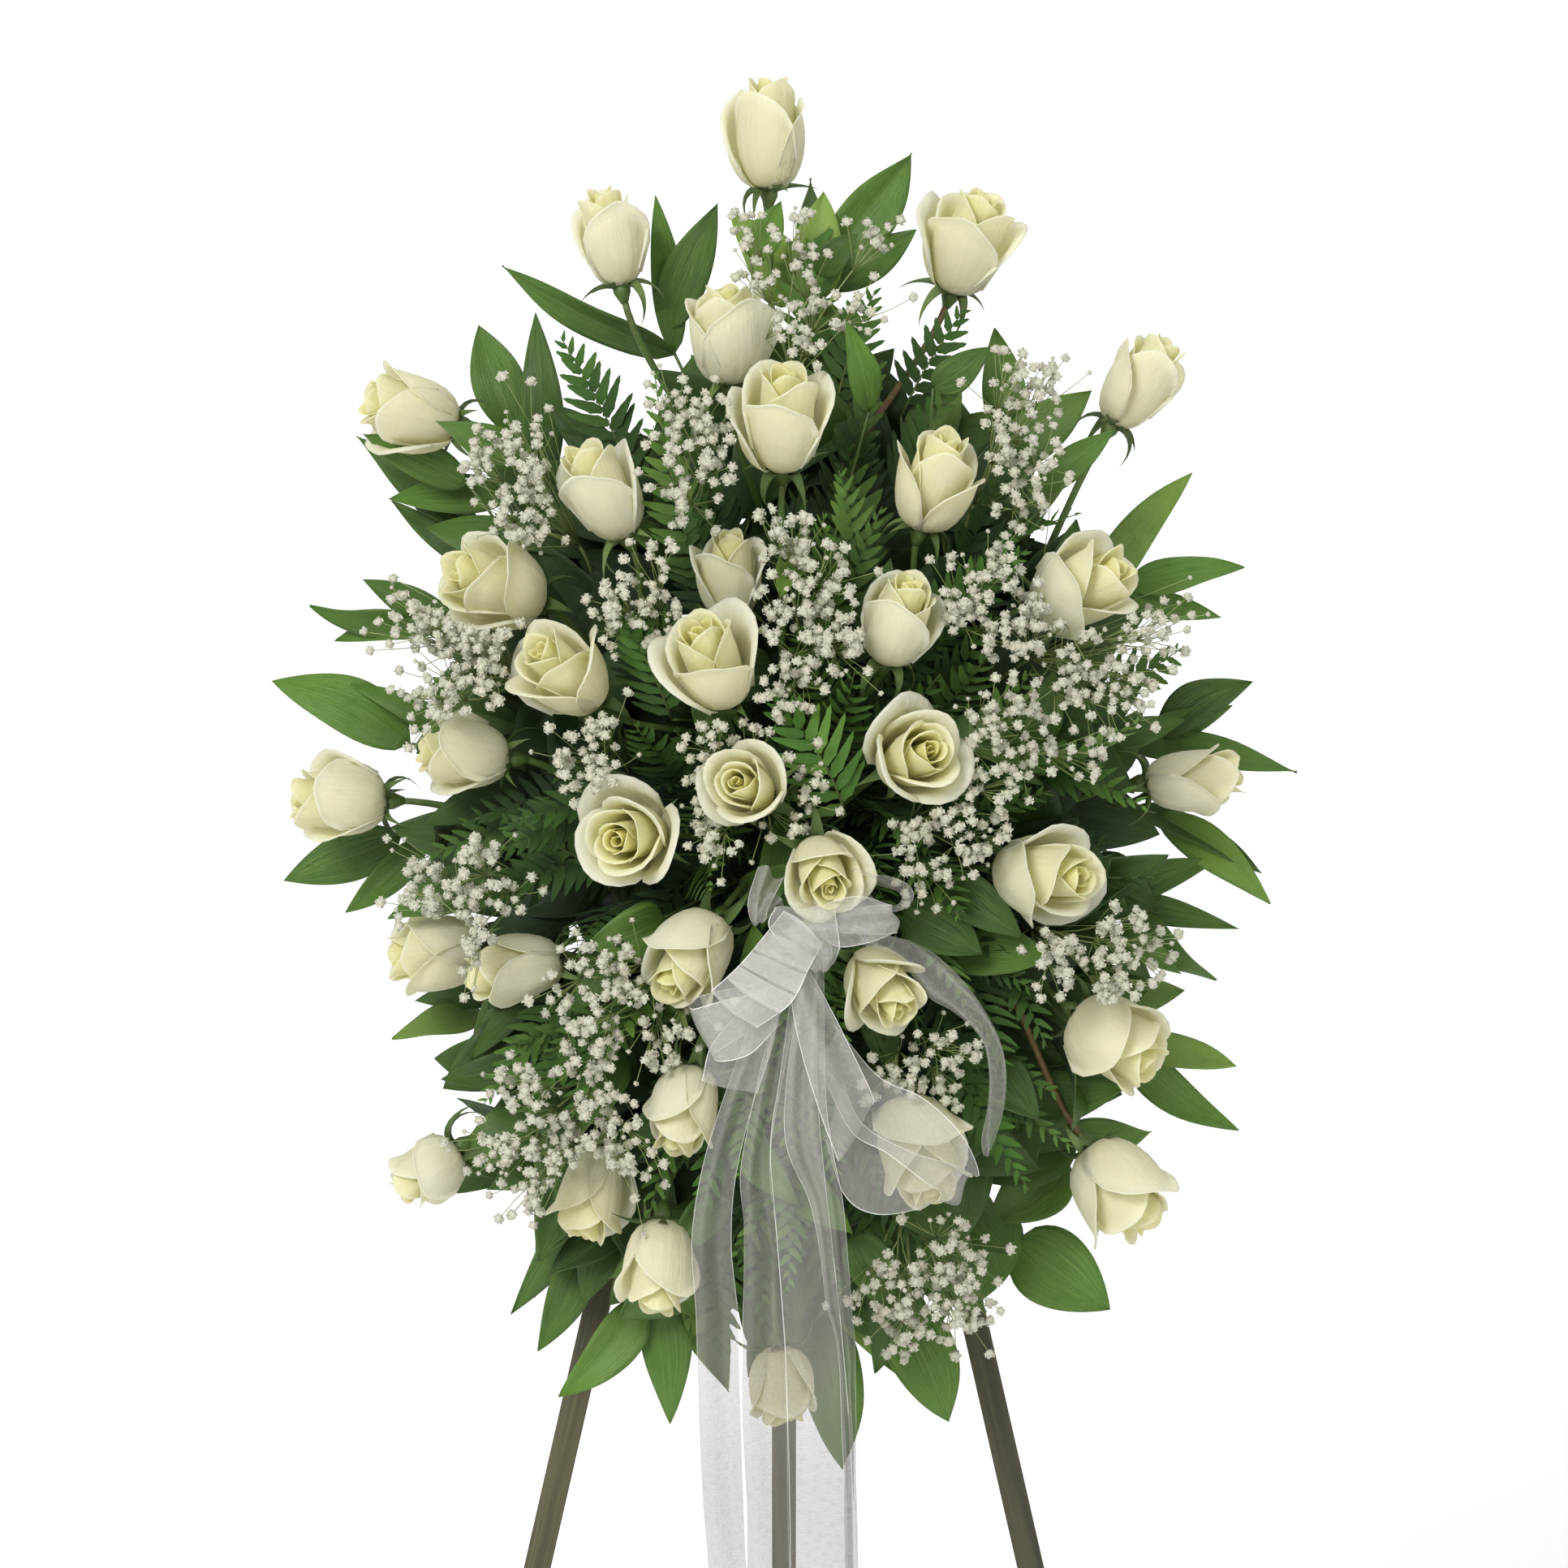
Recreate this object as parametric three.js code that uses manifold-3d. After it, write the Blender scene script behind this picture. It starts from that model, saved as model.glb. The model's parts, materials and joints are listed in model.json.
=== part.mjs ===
// A standing spray of white roses on a three-legged wooden easel.
//
// Thirty-five roses, leafy sprigs, fern fronds and baby's breath stand in one upright block of wet foam.
// The block sits in a shallow plastic tray that hangs on the upper crossbar of the easel, and a sheer
// ribbon is tied in front of it, with three long tails. Units are millimetres, +Z is up, and the spray
// faces -Y. The origin is on the floor, under the middle of the object.
//
// The spray has a frame of its own, the head, which leans back with the front legs: X to the viewer's
// right, Z up along the easel, -Y to the viewer, and the middle of the foam block at its origin. The
// tables below are in it.

import * as THREE from "three";
import { mergeVertices } from "three/addons/utils/BufferGeometryUtils.js";
import Module from "manifold-3d";

const wasm = await Module();
wasm.setup();

// Easel
const LEAN = THREE.MathUtils.degToRad(13); // the front legs and the head lean back by this
const REAR_LEAN = THREE.MathUtils.degToRad(18); // the rear leg leans the other way
const LEG_LENGTH = 1219; // a 48 inch easel
const LEG_SIDE = 16;
const LEG_SPLAY = 0.228; // sideways run of a front leg for each unit of its height
const LEGS_MEET = 199; // height in the head's frame where the front legs' centre lines would meet
const SEAT = 0.3; // gap between two pieces that rest on each other
const CROSSBAR = { height: 20, depth: 9 };
const CROSSBARS = [
  { name: "crossbar_upper", z: 92, length: 112 },
  { name: "crossbar_lower", z: -92, length: 196 },
];
const HEAD_BLOCK = { width: 56, depth: 16, low: 118, high: 176 };
const BRACKET = { wall: 2.4, play: 0.6, height: 36, past_pivot: 9, flange: 11 };
// The rear leg's top end stands this far above its pivot, and stops the leg against the bracket
const HEEL = 14;
const PIVOT_HEIGHT = 147;
const BOLT = { radius: 3, play: 0.5, head_radius: 6.5, head: 3.6 };
const ROUND_SIDES = 10;
const BOLT_SIDES = 6; // its hexagonal heads

// Foam and tray
const FOAM = { width: 108, depth: 78, height: 228 };
const TRAY = { wall: 2.8, rim: 14, hook_width: 18, hook_drop: 12 };
const HOLE_DEPTH = 30;
const PLUG_SIDES = 6;

// Roses, foliage and baby's breath
const PETALS = { bud: 3, open: 4, opens_at: 0.36 }; // petals in each layer of a bud and of an open bloom
const CALYX = { hip: 4.8, depth: 10, sepal: 14, points: 10 };
const STEM_RADIUS = 2.3;
const TWIG_RADIUS = 1.4;
const BREATH_RADIUS = 1.3;
const STALK_STEPS = 3;
const STALK_SIDES = 3;
const ROOT_SHARE = 0.14; // the stretch of a stalk by its root, where the stalks of a bunch run together
const ROOT_OUT = 4; // how far outside the foam a stalk leaves its bunch
const STUB = { bunch: 10, breath: 8 }; // how far the gathered ends of a bunch stand out of the foam
const LEAF_THICKNESS = 1.3;
const BROAD_WIDTH = 30; // leaves from this width get the fuller outline
const BROAD_LEAF = [[0.2, 0.7], [0.48, 1], [0.8, 0.56]];
const SLIM_LEAF = [[0.3, 0.95], [0.7, 0.85]];
const LEAFLETS = 5; // pairs on a frond
const FLORET_RADIUS = 5.5;
// Where a cloud's stem ends, as shares of its place
const CLOUD_ROOT = { across: 0.8, depth: 0.5, up: 0.82 };
// The shape that the spray's face follows
const DOME = { half_width: 300, half_height: 400, rim: 50, rise: 160 };
const CLEARANCE = 0.5;
const TRIES = { stem: 40, breath: 60, frond: 40, frond_stalk: 6, sprig: 30, leaf: 24, floret: 24 };

// Ribbon
const RIBBON = { width: 38, thickness: 0.9 };
const KNOT = [10, -216, -74];
const KNOT_SIZE = [13.8, 8.8, 11]; // half its width, depth and height
// The wire that holds the bow in the foam, straight back from the knot
const PICK = { radius: 1.8, sunk: 26 };
const GATHER = 0.2; // share of its width that the ribbon keeps where it is gathered into the knot
const LOOP_STEPS = 6;

const FOAM_BACK = FOAM.depth / 2;
const BAR_FRONT = FOAM_BACK + SEAT + TRAY.wall + SEAT;
const LEG_FRONT = BAR_FRONT + CROSSBAR.depth + SEAT;
const LEG_MIDDLE = LEG_FRONT + LEG_SIDE / 2;
const BLOCK_FRONT = LEG_FRONT + LEG_SIDE + SEAT;
const BRACKET_FRONT = BLOCK_FRONT + HEAD_BLOCK.depth + SEAT;
const FOLD = LEAN + REAR_LEAN; // angle between the rear leg and the head's height
const HEEL_REACH = (LEG_SIDE / 2) * Math.cos(FOLD) + HEEL * Math.sin(FOLD);
const PIVOT_DEPTH = BRACKET_FRONT + BRACKET.wall + SEAT + HEEL_REACH;
const LEG_TOP = LEGS_MEET - ((LEG_SIDE / 2) * Math.hypot(1, LEG_SPLAY) + SEAT) / LEG_SPLAY;
const FOOT = LEG_TOP - LEG_LENGTH / Math.hypot(1, LEG_SPLAY);
const HEAD_Z = LEG_MIDDLE * Math.sin(LEAN) - FOOT * Math.cos(LEAN);
const HEAD_Y = -114; // sets the middle of the whole object over the origin

const FINISH = {
  petal: { color: 0xf1ecd2, roughness: 0.6 },
  leaf: { color: 0x2f5a26, roughness: 0.5 },
  breath: { color: 0xe9e9df, roughness: 0.8 },
  wood: { color: 0x5f5a41, roughness: 0.75 },
  foam: { color: 0x2c4a2e, roughness: 0.95 },
  plastic: { color: 0x1f3a26, roughness: 0.45 },
  ribbon: { color: 0xdcdcda, roughness: 0.5 },
  steel: { color: 0x9a9c9e, roughness: 0.35, metalness: 0.9 },
};

// The bunches, each with its own hole in the foam: where it enters, the way out of the foam and its
// radius.
const BUNCHES = {
  top: { at: [0, 0, FOAM.height / 2], out: [0, 0, 1], radius: 11 },
  upper_left: { at: [-FOAM.width / 2, 0, 50], out: [-1, 0, 0], radius: 11 },
  upper_right: { at: [FOAM.width / 2, 0, 50], out: [1, 0, 0], radius: 11 },
  lower_left: { at: [-FOAM.width / 2, 0, -36], out: [-1, 0, 0], radius: 11 },
  lower_right: { at: [FOAM.width / 2, 0, -36], out: [1, 0, 0], radius: 11 },
  bottom: { at: [0, 0, -FOAM.height / 2], out: [0, 0, -1], radius: 11 },
  front_upper: { at: [0, -FOAM_BACK, 50], out: [0, -1, 0], radius: 11 },
  front_lower: { at: [0, -FOAM_BACK, -28], out: [0, -1, 0], radius: 11 },
};

// The roses: the middle of each bloom, the way that it points in the XZ plane in degrees, the share of
// it that points at the viewer, its size, and how far it is open, from 0, a bud, to 1.
const ROSES = [
  { bunch: "top", at: [-9, -50, 406], turn: 90, facing: 0.1, length: 67, width: 50, open: 0.15 },
  { bunch: "top", at: [-104, -52, 344], turn: 102, facing: 0.15, length: 60, width: 46, open: 0.5 },
  { bunch: "top", at: [111, -60, 340], turn: 70, facing: 0.35, length: 65, width: 61, open: 0.65 },
  { bunch: "upper_right", at: [214, -52, 257], turn: 56, facing: 0.1, length: 61, width: 44, open: 0.35 },
  { bunch: "upper_left", at: [-224, -55, 239], turn: 166, facing: 0.2, length: 60, width: 52, open: 0.35 },
  { bunch: "top", at: [-33, -98, 283], turn: 92, facing: 0.2, length: 60, width: 51, open: 0.3 },
  { bunch: "front_upper", at: [0, -160, 230], turn: 88, facing: 0.5, length: 66, width: 59, open: 0.45 },
  { bunch: "upper_left", at: [-108, -135, 189], turn: 119, facing: 0.35, length: 64, width: 50, open: 0.4 },
  { bunch: "upper_right", at: [89, -140, 195], turn: 73, facing: 0.35, length: 63, width: 54, open: 0.45 },
  { bunch: "upper_left", at: [-172, -125, 133], turn: 158, facing: 0.5, length: 66, width: 62, open: 0.6 },
  { bunch: "front_upper", at: [-31, -137, 140], turn: 92, facing: 0.42, length: 56, width: 43, open: 0.4 },
  { bunch: "front_upper", at: [-42, -195, 87], turn: 112, facing: 0.62, length: 62, width: 60, open: 0.55 },
  { bunch: "front_upper", at: [67, -175, 112], turn: 72, facing: 0.5, length: 57, width: 48, open: 0.4 },
  { bunch: "upper_right", at: [177, -130, 132], turn: 28, facing: 0.5, length: 67, width: 60, open: 0.5 },
  { bunch: "front_upper", at: [-129, -165, 81], turn: 137, facing: 0.62, length: 61, width: 62, open: 0.7 },
  { bunch: "lower_left", at: [-190, -105, 33], turn: 176, facing: 0.15, length: 55, width: 48, open: 0.55 },
  { bunch: "lower_left", at: [-268, -45, 6], turn: 180, facing: 0.15, length: 59, width: 54, open: 0.4 },
  { bunch: "front_lower", at: [-21, -205, 14], turn: 150, facing: 0.93, length: 55, width: 51, open: 0.65 },
  { bunch: "front_lower", at: [76, -190, 32], turn: 25, facing: 0.9, length: 60, width: 61, open: 0.75 },
  { bunch: "front_lower", at: [-89, -190, -15], turn: 190, facing: 0.93, length: 60, width: 63, open: 0.75 },
  { bunch: "front_lower", at: [23, -206, -34], turn: 290, facing: 0.85, length: 54, width: 49, open: 0.6 },
  { bunch: "lower_right", at: [246, -50, 20], turn: 6, facing: 0.1, length: 59, width: 41, open: 0.35 },
  { bunch: "lower_right", at: [153, -150, -37], turn: 355, facing: 0.65, length: 66, width: 65, open: 0.65 },
  { bunch: "lower_left", at: [-209, -55, -86], turn: 184, facing: 0.1, length: 57, width: 48, open: 0.3 },
  { bunch: "lower_left", at: [-160, -110, -94], turn: 190, facing: 0.15, length: 59, width: 43, open: 0.3 },
  { bunch: "front_lower", at: [-55, -178, -85], turn: 235, facing: 0.5, length: 60, width: 53, open: 0.4 },
  { bunch: "front_lower", at: [58, -186, -102], turn: 305, facing: 0.65, length: 54, width: 52, open: 0.65 },
  { bunch: "lower_right", at: [197, -105, -136], turn: 325, facing: 0.35, length: 60, width: 57, open: 0.35 },
  { bunch: "bottom", at: [-58, -160, -175], turn: 255, facing: 0.2, length: 54, width: 43, open: 0.35 },
  { bunch: "bottom", at: [79, -158, -200], turn: 292, facing: 0.45, length: 70, width: 64, open: 0.55 },
  { bunch: "lower_right", at: [201, -70, -225], turn: 308, facing: 0.15, length: 62, width: 61, open: 0.4 },
  { bunch: "lower_left", at: [-214, -50, -216], turn: 216, facing: 0.1, length: 46, width: 42, open: 0.35 },
  { bunch: "lower_left", at: [-113, -100, -227], turn: 258, facing: 0.2, length: 58, width: 49, open: 0.45 },
  { bunch: "bottom", at: [-73, -125, -269], turn: 267, facing: 0.15, length: 57, width: 47, open: 0.35 },
  { bunch: "bottom", at: [-2, -100, -341], turn: 275, facing: 0.1, length: 47, width: 41, open: 0.2 },
];

// Leafy sprigs: where a twig ends, as x, y, z, then its leaves as [place along the twig, tip x, tip z,
// width].
const SPRIGS = [
  { bunch: "top", end: [27, -18, 333],
    leaves: [[1, 78, 396, 34], [0.9, 80, 352, 22], [0.96, 14, 380, 24]] },
  { bunch: "top", end: [-72, -14, 290],
    leaves: [[1, -40, 366, 26], [0.9, -78, 372, 18], [0.95, -170, 328, 20]] },
  { bunch: "upper_left", end: [-160, -10, 226],
    leaves: [[1, -185, 294, 31], [0.85, -150, 301, 24], [0.6, -176, 200, 18]] },
  { bunch: "upper_left", end: [-186, -2, 170],
    leaves: [[1, -257, 228, 24], [0.88, -245, 217, 27], [0.76, -238, 188, 18]] },
  { bunch: "upper_left", end: [-222, -12, 116],
    leaves: [[1, -286, 123, 19], [0.93, -272, 103, 16], [0.8, -255, 140, 20]] },
  { bunch: "upper_left", end: [-226, -4, 40],
    leaves: [[1, -311, 79, 32], [0.88, -262, 76, 16]] },
  { bunch: "lower_left", end: [-232, 2, -16],
    leaves: [[1, -305, -41, 28], [0.9, -266, -62, 19], [0.72, -225, -45, 20]] },
  { bunch: "lower_left", end: [-180, -8, -124],
    leaves: [[1, -237, -138, 21], [0.85, -224, -117, 18]] },
  { bunch: "lower_left", end: [-158, -4, -206],
    leaves: [[1, -202, -231, 22], [0.8, -186, -150, 20]] },
  { bunch: "lower_left", end: [-118, -2, -258],
    leaves: [[1, -150, -327, 24], [0.88, -166, -306, 22], [0.78, -151, -296, 18]] },
  { bunch: "bottom", end: [-84, -12, -294],
    leaves: [[1, -136, -354, 28], [0.94, -70, -372, 30], [0.82, -34, -352, 30]] },
  { bunch: "bottom", end: [14, -14, -300],
    leaves: [[1, 39, -398, 42], [0.88, 70, -343, 22]] },
  { bunch: "bottom", end: [68, -8, -300],
    leaves: [[1, 101, -370, 40], [0.85, 104, -341, 26]] },
  { bunch: "lower_right", end: [140, -6, -260],
    leaves: [[1, 197, -302, 43], [0.9, 116, -300, 30]] },
  { bunch: "lower_right", end: [172, -4, -196],
    leaves: [[1, 222, -194, 26], [0.86, 115, -222, 38]] },
  { bunch: "lower_right", end: [212, -10, -140],
    leaves: [[1, 274, -154, 20], [0.9, 274, -197, 23], [0.8, 243, -109, 24]] },
  { bunch: "lower_right", end: [204, -8, -58],
    leaves: [[1, 260, -104, 26], [0.9, 261, -30, 19], [0.8, 275, -71, 17]] },
  { bunch: "upper_right", end: [226, -2, -2],
    leaves: [[1, 294, -57, 23], [0.9, 289, -38, 17]] },
  { bunch: "upper_right", end: [226, -4, 44],
    leaves: [[1, 284, 78, 25], [0.93, 272, 63, 17], [0.86, 311, 26, 20]] },
  { bunch: "upper_right", end: [208, -10, 136],
    leaves: [[1, 277, 149, 21], [0.94, 266, 118, 16], [0.88, 247, 205, 23]] },
  { bunch: "upper_right", end: [136, -4, 226],
    leaves: [[1, 127, 292, 24], [0.94, 186, 254, 29], [0.84, 91, 267, 28], [0.7, 176, 208, 20]] },
];

// Fern fronds: the root of the blade and its tip, as x, y, z, and its greatest width.
const FRONDS = [
  { bunch: "upper_left", root: [-84, -56, 176], tip: [-138, -66, 282], width: 50 },
  { bunch: "top", root: [14, -46, 262], tip: [24, -40, 366], width: 46 },
  { bunch: "upper_right", root: [70, -60, 236], tip: [108, -70, 300], width: 40 },
  { bunch: "front_upper", root: [46, -92, 136], tip: [36, -112, 214], width: 44 },
  { bunch: "front_upper", root: [-62, -96, 56], tip: [-84, -152, 124], width: 40 },
  { bunch: "front_lower", root: [24, -110, 0], tip: [16, -176, 68], width: 40 },
  { bunch: "lower_left", root: [-112, -60, -30], tip: [-170, -86, -12], width: 44 },
  { bunch: "lower_left", root: [-92, -60, -112], tip: [-164, -60, -150], width: 46 },
  { bunch: "front_lower", root: [-78, -90, -60], tip: [-124, -140, -72], width: 36 },
  { bunch: "upper_right", root: [104, -66, 112], tip: [136, -100, 168], width: 40 },
  { bunch: "upper_right", root: [176, -36, 74], tip: [240, -40, 98], width: 36 },
  { bunch: "lower_right", root: [118, -56, -44], tip: [196, -60, -18], width: 40 },
  { bunch: "lower_right", root: [100, -66, -140], tip: [150, -84, -180], width: 42 },
  { bunch: "bottom", root: [-26, -60, -246], tip: [-36, -66, -330], width: 40 },
];

// Baby's breath: where each stem enters the foam, then its clouds of florets as [x, z, half width, half
// height, count].
const BREATH = [
  { name: "top", at: [-24, -20, FOAM.height / 2], out: [0, 0, 1],
    clouds: [[7, 314, 50, 46, 7], [-56, 216, 24, 32, 5]] },
  { name: "upper_left", at: [-FOAM.width / 2, -26, 50], out: [-1, 0, 0],
    clouds: [[-152, 192, 24, 46, 5], [-195, 96, 28, 46, 7], [-84, 124, 22, 22, 3]] },
  { name: "upper_right", at: [FOAM.width / 2, -26, 50], out: [1, 0, 0],
    clouds: [[141, 224, 20, 48, 5], [115, 125, 16, 28, 3], [182, 100, 42, 62, 9], [139, 42, 36, 24, 4]] },
  { name: "centre", at: [0, -FOAM_BACK, 11], out: [0, -1, 0],
    clouds: [[14, 115, 26, 54, 7], [-24, 12, 40, 34, 4], [-112, 28, 20, 24, 3], [93, -12, 36, 36, 4]] },
  { name: "lower_left", at: [-FOAM.width / 2, -26, -36], out: [-1, 0, 0],
    clouds: [[-192, -55, 34, 34, 5], [-87, -112, 44, 32, 5], [-132, -190, 46, 48, 9]] },
  { name: "lower_right", at: [FOAM.width / 2, -26, -36], out: [1, 0, 0],
    clouds: [[184, -84, 46, 26, 5], [84, -150, 28, 20, 3], [88, -283, 46, 28, 6]] },
];

// The ribbon's tails, by points from the knot outwards, with the turn of their width from the X axis in
// degrees at both ends, and the width that they show where they curl along their length.
const TAILS = [
  { turn: [-10, 10], width: 28,
    points: [[6, -215, -77], [-22, -216, -150], [-40, -204, -250],
      [-46, -176, -380], [-42, -148, -500], [-32, -120, -625]] },
  { turn: [20, -10], width: 24,
    points: [[10, -216, -78], [-4, -222, -160], [-13, -204, -270],
      [-9, -175, -400], [-8, -148, -520], [-8, -123, -625]] },
  { turn: [-20, 10], width: 26,
    points: [[14, -215, -77], [20, -230, -150], [26, -210, -250],
      [33, -177, -380], [38, -146, -510], [38, -118, -625]] },
  { turn: [-30, 20], width: 30,
    points: [[16, -218, -76], [46, -238, -112], [55, -242, -160], [38, -232, -204]] },
  { turn: [110, 60], width: 22,
    points: [[18, -217, -73], [66, -236, -66], [94, -230, -84],
      [118, -218, -114], [130, -206, -148], [122, -196, -199]] },
  { turn: [-30, -10], width: 34,
    points: [[5, -217, -77], [-26, -232, -124], [-48, -236, -158]] },
];

// The ribbon's loops: the way that each points in the XZ plane, its length and height, the roll of its
// width in degrees, and how far it leans to the viewer for each unit across.
const LOOPS = [
  { turn: 142, length: 44, height: 18, roll: 25, forward: 0.25 },
  { turn: 0, length: 50, height: 22, roll: 30, forward: 0.6 },
  { turn: 194, length: 56, height: 22, roll: 20, forward: 0.45 },
  { turn: 246, length: 70, height: 24, roll: 15, forward: 0.55 },
];

// Geometry helpers

const vec = (point) => new THREE.Vector3(...point);
const lerp = THREE.MathUtils.lerp;

// A repeatable draw between 0 and 1 for a whole number.
function draw(n) {
  const s = Math.sin(n * 127.1 + 11.7) * 43758.5453;
  return s - Math.floor(s);
}

// A direction of unit length, drawn at random.
function drawDirection(n) {
  const z = 2 * draw(n) - 1;
  const angle = 2 * Math.PI * draw(n + 0.5);
  const r = Math.sqrt(1 - z * z);
  return new THREE.Vector3(r * Math.cos(angle), r * Math.sin(angle), z);
}

// A solid from a list of points and a list of triangles.
function solidOf(points, faces) {
  const vertProperties = new Float32Array(points.flatMap((p) => [p.x, p.y, p.z]));
  const triVerts = new Uint32Array(faces.flat());
  return new wasm.Manifold(new wasm.Mesh({ numProp: 3, vertProperties, triVerts }));
}

// A solid from a three.js geometry, moved by a matrix.
function solidFrom(geometry, matrix = new THREE.Matrix4()) {
  const bare = geometry.clone().applyMatrix4(matrix);
  bare.deleteAttribute("normal");
  bare.deleteAttribute("uv");
  const merged = mergeVertices(bare, 1e-4);
  const vertProperties = new Float32Array(merged.attributes.position.array);
  const triVerts = new Uint32Array(merged.index.array);
  return new wasm.Manifold(new wasm.Mesh({ numProp: 3, vertProperties, triVerts }));
}

// A box between two corners.
function box(low, high) {
  const [a, b] = [vec(low), vec(high)];
  const size = b.clone().sub(a);
  const middle = a.clone().add(b).multiplyScalar(0.5);
  const shift = new THREE.Matrix4().makeTranslation(middle);
  return solidFrom(new THREE.BoxGeometry(size.x, size.y, size.z), shift);
}

// A round bar along a direction, from one point over a length.
function bar(from, direction, length, radius, sides = ROUND_SIDES) {
  const turn = new THREE.Quaternion().setFromUnitVectors(new THREE.Vector3(0, 1, 0), direction);
  const middle = from.clone().addScaledVector(direction, length / 2);
  const matrix = new THREE.Matrix4().compose(middle, turn, new THREE.Vector3(1, 1, 1));
  return solidFrom(new THREE.CylinderGeometry(radius, radius, length, sides), matrix);
}

// A closed skin over a row of rings. A ring runs anticlockwise seen from the last ring, and one point is
// a pole. The quads of the sides in crossed are split along their other diagonal.
function skin(rings, crossed = []) {
  const starts = [];
  let total = 0;
  for (const ring of rings) {
    starts.push(total);
    total += ring.length;
  }
  const at = (i, j) => starts[i] + (j % rings[i].length);
  const faces = [];
  for (let i = 0; i + 1 < rings.length; i++) {
    const sides = Math.max(rings[i].length, rings[i + 1].length);
    for (let j = 0; j < sides; j++) {
      const [a, b, c, d] = [at(i, j), at(i, j + 1), at(i + 1, j + 1), at(i + 1, j)];
      if (crossed.includes(j)) {
        faces.push([a, b, d], [b, c, d]);
        continue;
      }
      if (a !== b) faces.push([a, b, c]);
      if (c !== d) faces.push([a, c, d]);
    }
  }
  const last = rings.length - 1;
  for (let j = 1; j + 1 < rings[0].length; j++) faces.push([at(0, 0), at(0, j + 1), at(0, j)]);
  for (let j = 1; j + 1 < rings[last].length; j++) faces.push([at(last, 0), at(last, j), at(last, j + 1)]);
  return solidOf(rings.flat(), faces);
}

// A point on the straight runs that a stalk makes of its curve.
function onStalk(curve, place) {
  const step = Math.min(STALK_STEPS - 1, Math.floor(place * STALK_STEPS));
  const from = curve.getPoint(step / STALK_STEPS);
  return from.lerp(curve.getPoint((step + 1) / STALK_STEPS), place * STALK_STEPS - step);
}

// A stalk of few sides along a curve, from a share of its length on.
function stalk(curve, radius, start = 0) {
  const frames = curve.computeFrenetFrames(STALK_STEPS, false);
  const rings = [];
  for (let i = 0; i <= STALK_STEPS; i++) {
    const middle = onStalk(curve, Math.max(start, i / STALK_STEPS));
    const ring = [];
    for (let j = 0; j < STALK_SIDES; j++) {
      const angle = (2 * Math.PI * j) / STALK_SIDES;
      const point = middle.clone();
      point.addScaledVector(frames.normals[i], radius * Math.cos(angle));
      point.addScaledVector(frames.binormals[i], radius * Math.sin(angle));
      ring.push(point);
    }
    rings.push(ring);
  }
  return skin(rings);
}

// A curve that leaves one point along one direction and arrives at another along a second one.
function reach(from, leaving, to, arriving, bend) {
  const distance = from.distanceTo(to);
  const near = from.clone().addScaledVector(leaving, distance * 0.35).add(bend);
  const far = to.clone().addScaledVector(arriving, -distance * 0.3).add(bend);
  return new THREE.CubicBezierCurve3(from, near, far, to);
}

// A thin arched blade from base to tip, as wide at each station of its outline as width times that
// share. Its two halves rise a little from the rib. An outline row is [place along the blade, share, how
// far the edge runs ahead].
function blade(base, tip, width, outline, facing, { arch = 0.08, rise = 0.22, grow = 0 } = {}) {
  const along = tip.clone().sub(base);
  const length = along.length();
  const side = facing.clone().cross(along).normalize();
  const up = along.clone().cross(side).normalize();
  const rings = outline.map(([place, share, ahead = 0]) => {
    const middle = base.clone().addScaledVector(along, place);
    middle.addScaledVector(up, arch * length * Math.sin(Math.PI * place));
    const half = (width * share) / 2 + grow;
    const edge = (sign) => {
      const point = middle.clone().addScaledVector(side, sign * half).addScaledVector(up, rise * half);
      return point.addScaledVector(along, ahead);
    };
    const rib = (sign) => middle.clone().addScaledVector(up, sign * (LEAF_THICKNESS / 2 + grow));
    return [edge(1), rib(1), edge(-1), rib(-1)];
  });
  return skin([[base], ...rings, [tip]]);
}

// A frond's outline: leaflets in pairs that shorten towards the tip, cut nearly to the rib.
function frondOutline() {
  const rows = [];
  for (let i = 0; i < LEAFLETS; i++) {
    const place = 0.1 + (0.84 * i) / LEAFLETS;
    const share = Math.sin(Math.PI * (0.34 + (0.62 * i) / LEAFLETS));
    rows.push([place, 0.12], [place + 0.07, share, 0.05]);
  }
  return rows;
}

// Assembly

const head = new THREE.Group();
head.rotation.x = -LEAN;
head.position.set(0, HEAD_Y, HEAD_Z);
const root = new THREE.Group();
root.add(head);

// Everything that fills space in the head's frame.
const pieces = [];

// Adds a solid to a node's pieces, and gives the piece back.
function fill(node, solid, isPlug = false) {
  const { min, max } = solid.boundingBox();
  const piece = { node, solid, min, max, isPlug };
  pieces.push(piece);
  return piece;
}

// True where a solid meets no piece, apart from those that may touch it.
function isClear(solid, mayTouch) {
  const { min, max } = solid.boundingBox();
  return pieces.every((piece) => {
    if (mayTouch(piece)) return true;
    if ([0, 1, 2].some((i) => min[i] > piece.max[i] || max[i] < piece.min[i])) return true;
    return solid.intersect(piece.solid).isEmpty();
  });
}

// The first of several tries whose thicker stand-in is clear, or null. make(k, grow) builds try number
// k.
function firstClear(mayTouch, tries, make) {
  for (let k = 0; k < tries; k++) {
    if (isClear(make(k, CLEARANCE), mayTouch)) return make(k, 0);
  }
  return null;
}

function addMesh(name, geometry, finish, parent = head) {
  const mesh = new THREE.Mesh(geometry, new THREE.MeshStandardMaterial(finish));
  mesh.name = name;
  parent.add(mesh);
  return mesh;
}

function geometryOf(solid) {
  const { vertProperties, triVerts } = solid.getMesh();
  const geometry = new THREE.BufferGeometry();
  geometry.setAttribute("position", new THREE.BufferAttribute(new Float32Array(vertProperties), 3));
  geometry.setIndex(new THREE.BufferAttribute(new Uint32Array(triVerts), 1));
  return geometry;
}

// A node in the head's frame, which also fills its space.
function addNode(name, solid, finish) {
  fill(name, solid);
  return addMesh(name, geometryOf(solid), finish);
}

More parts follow.
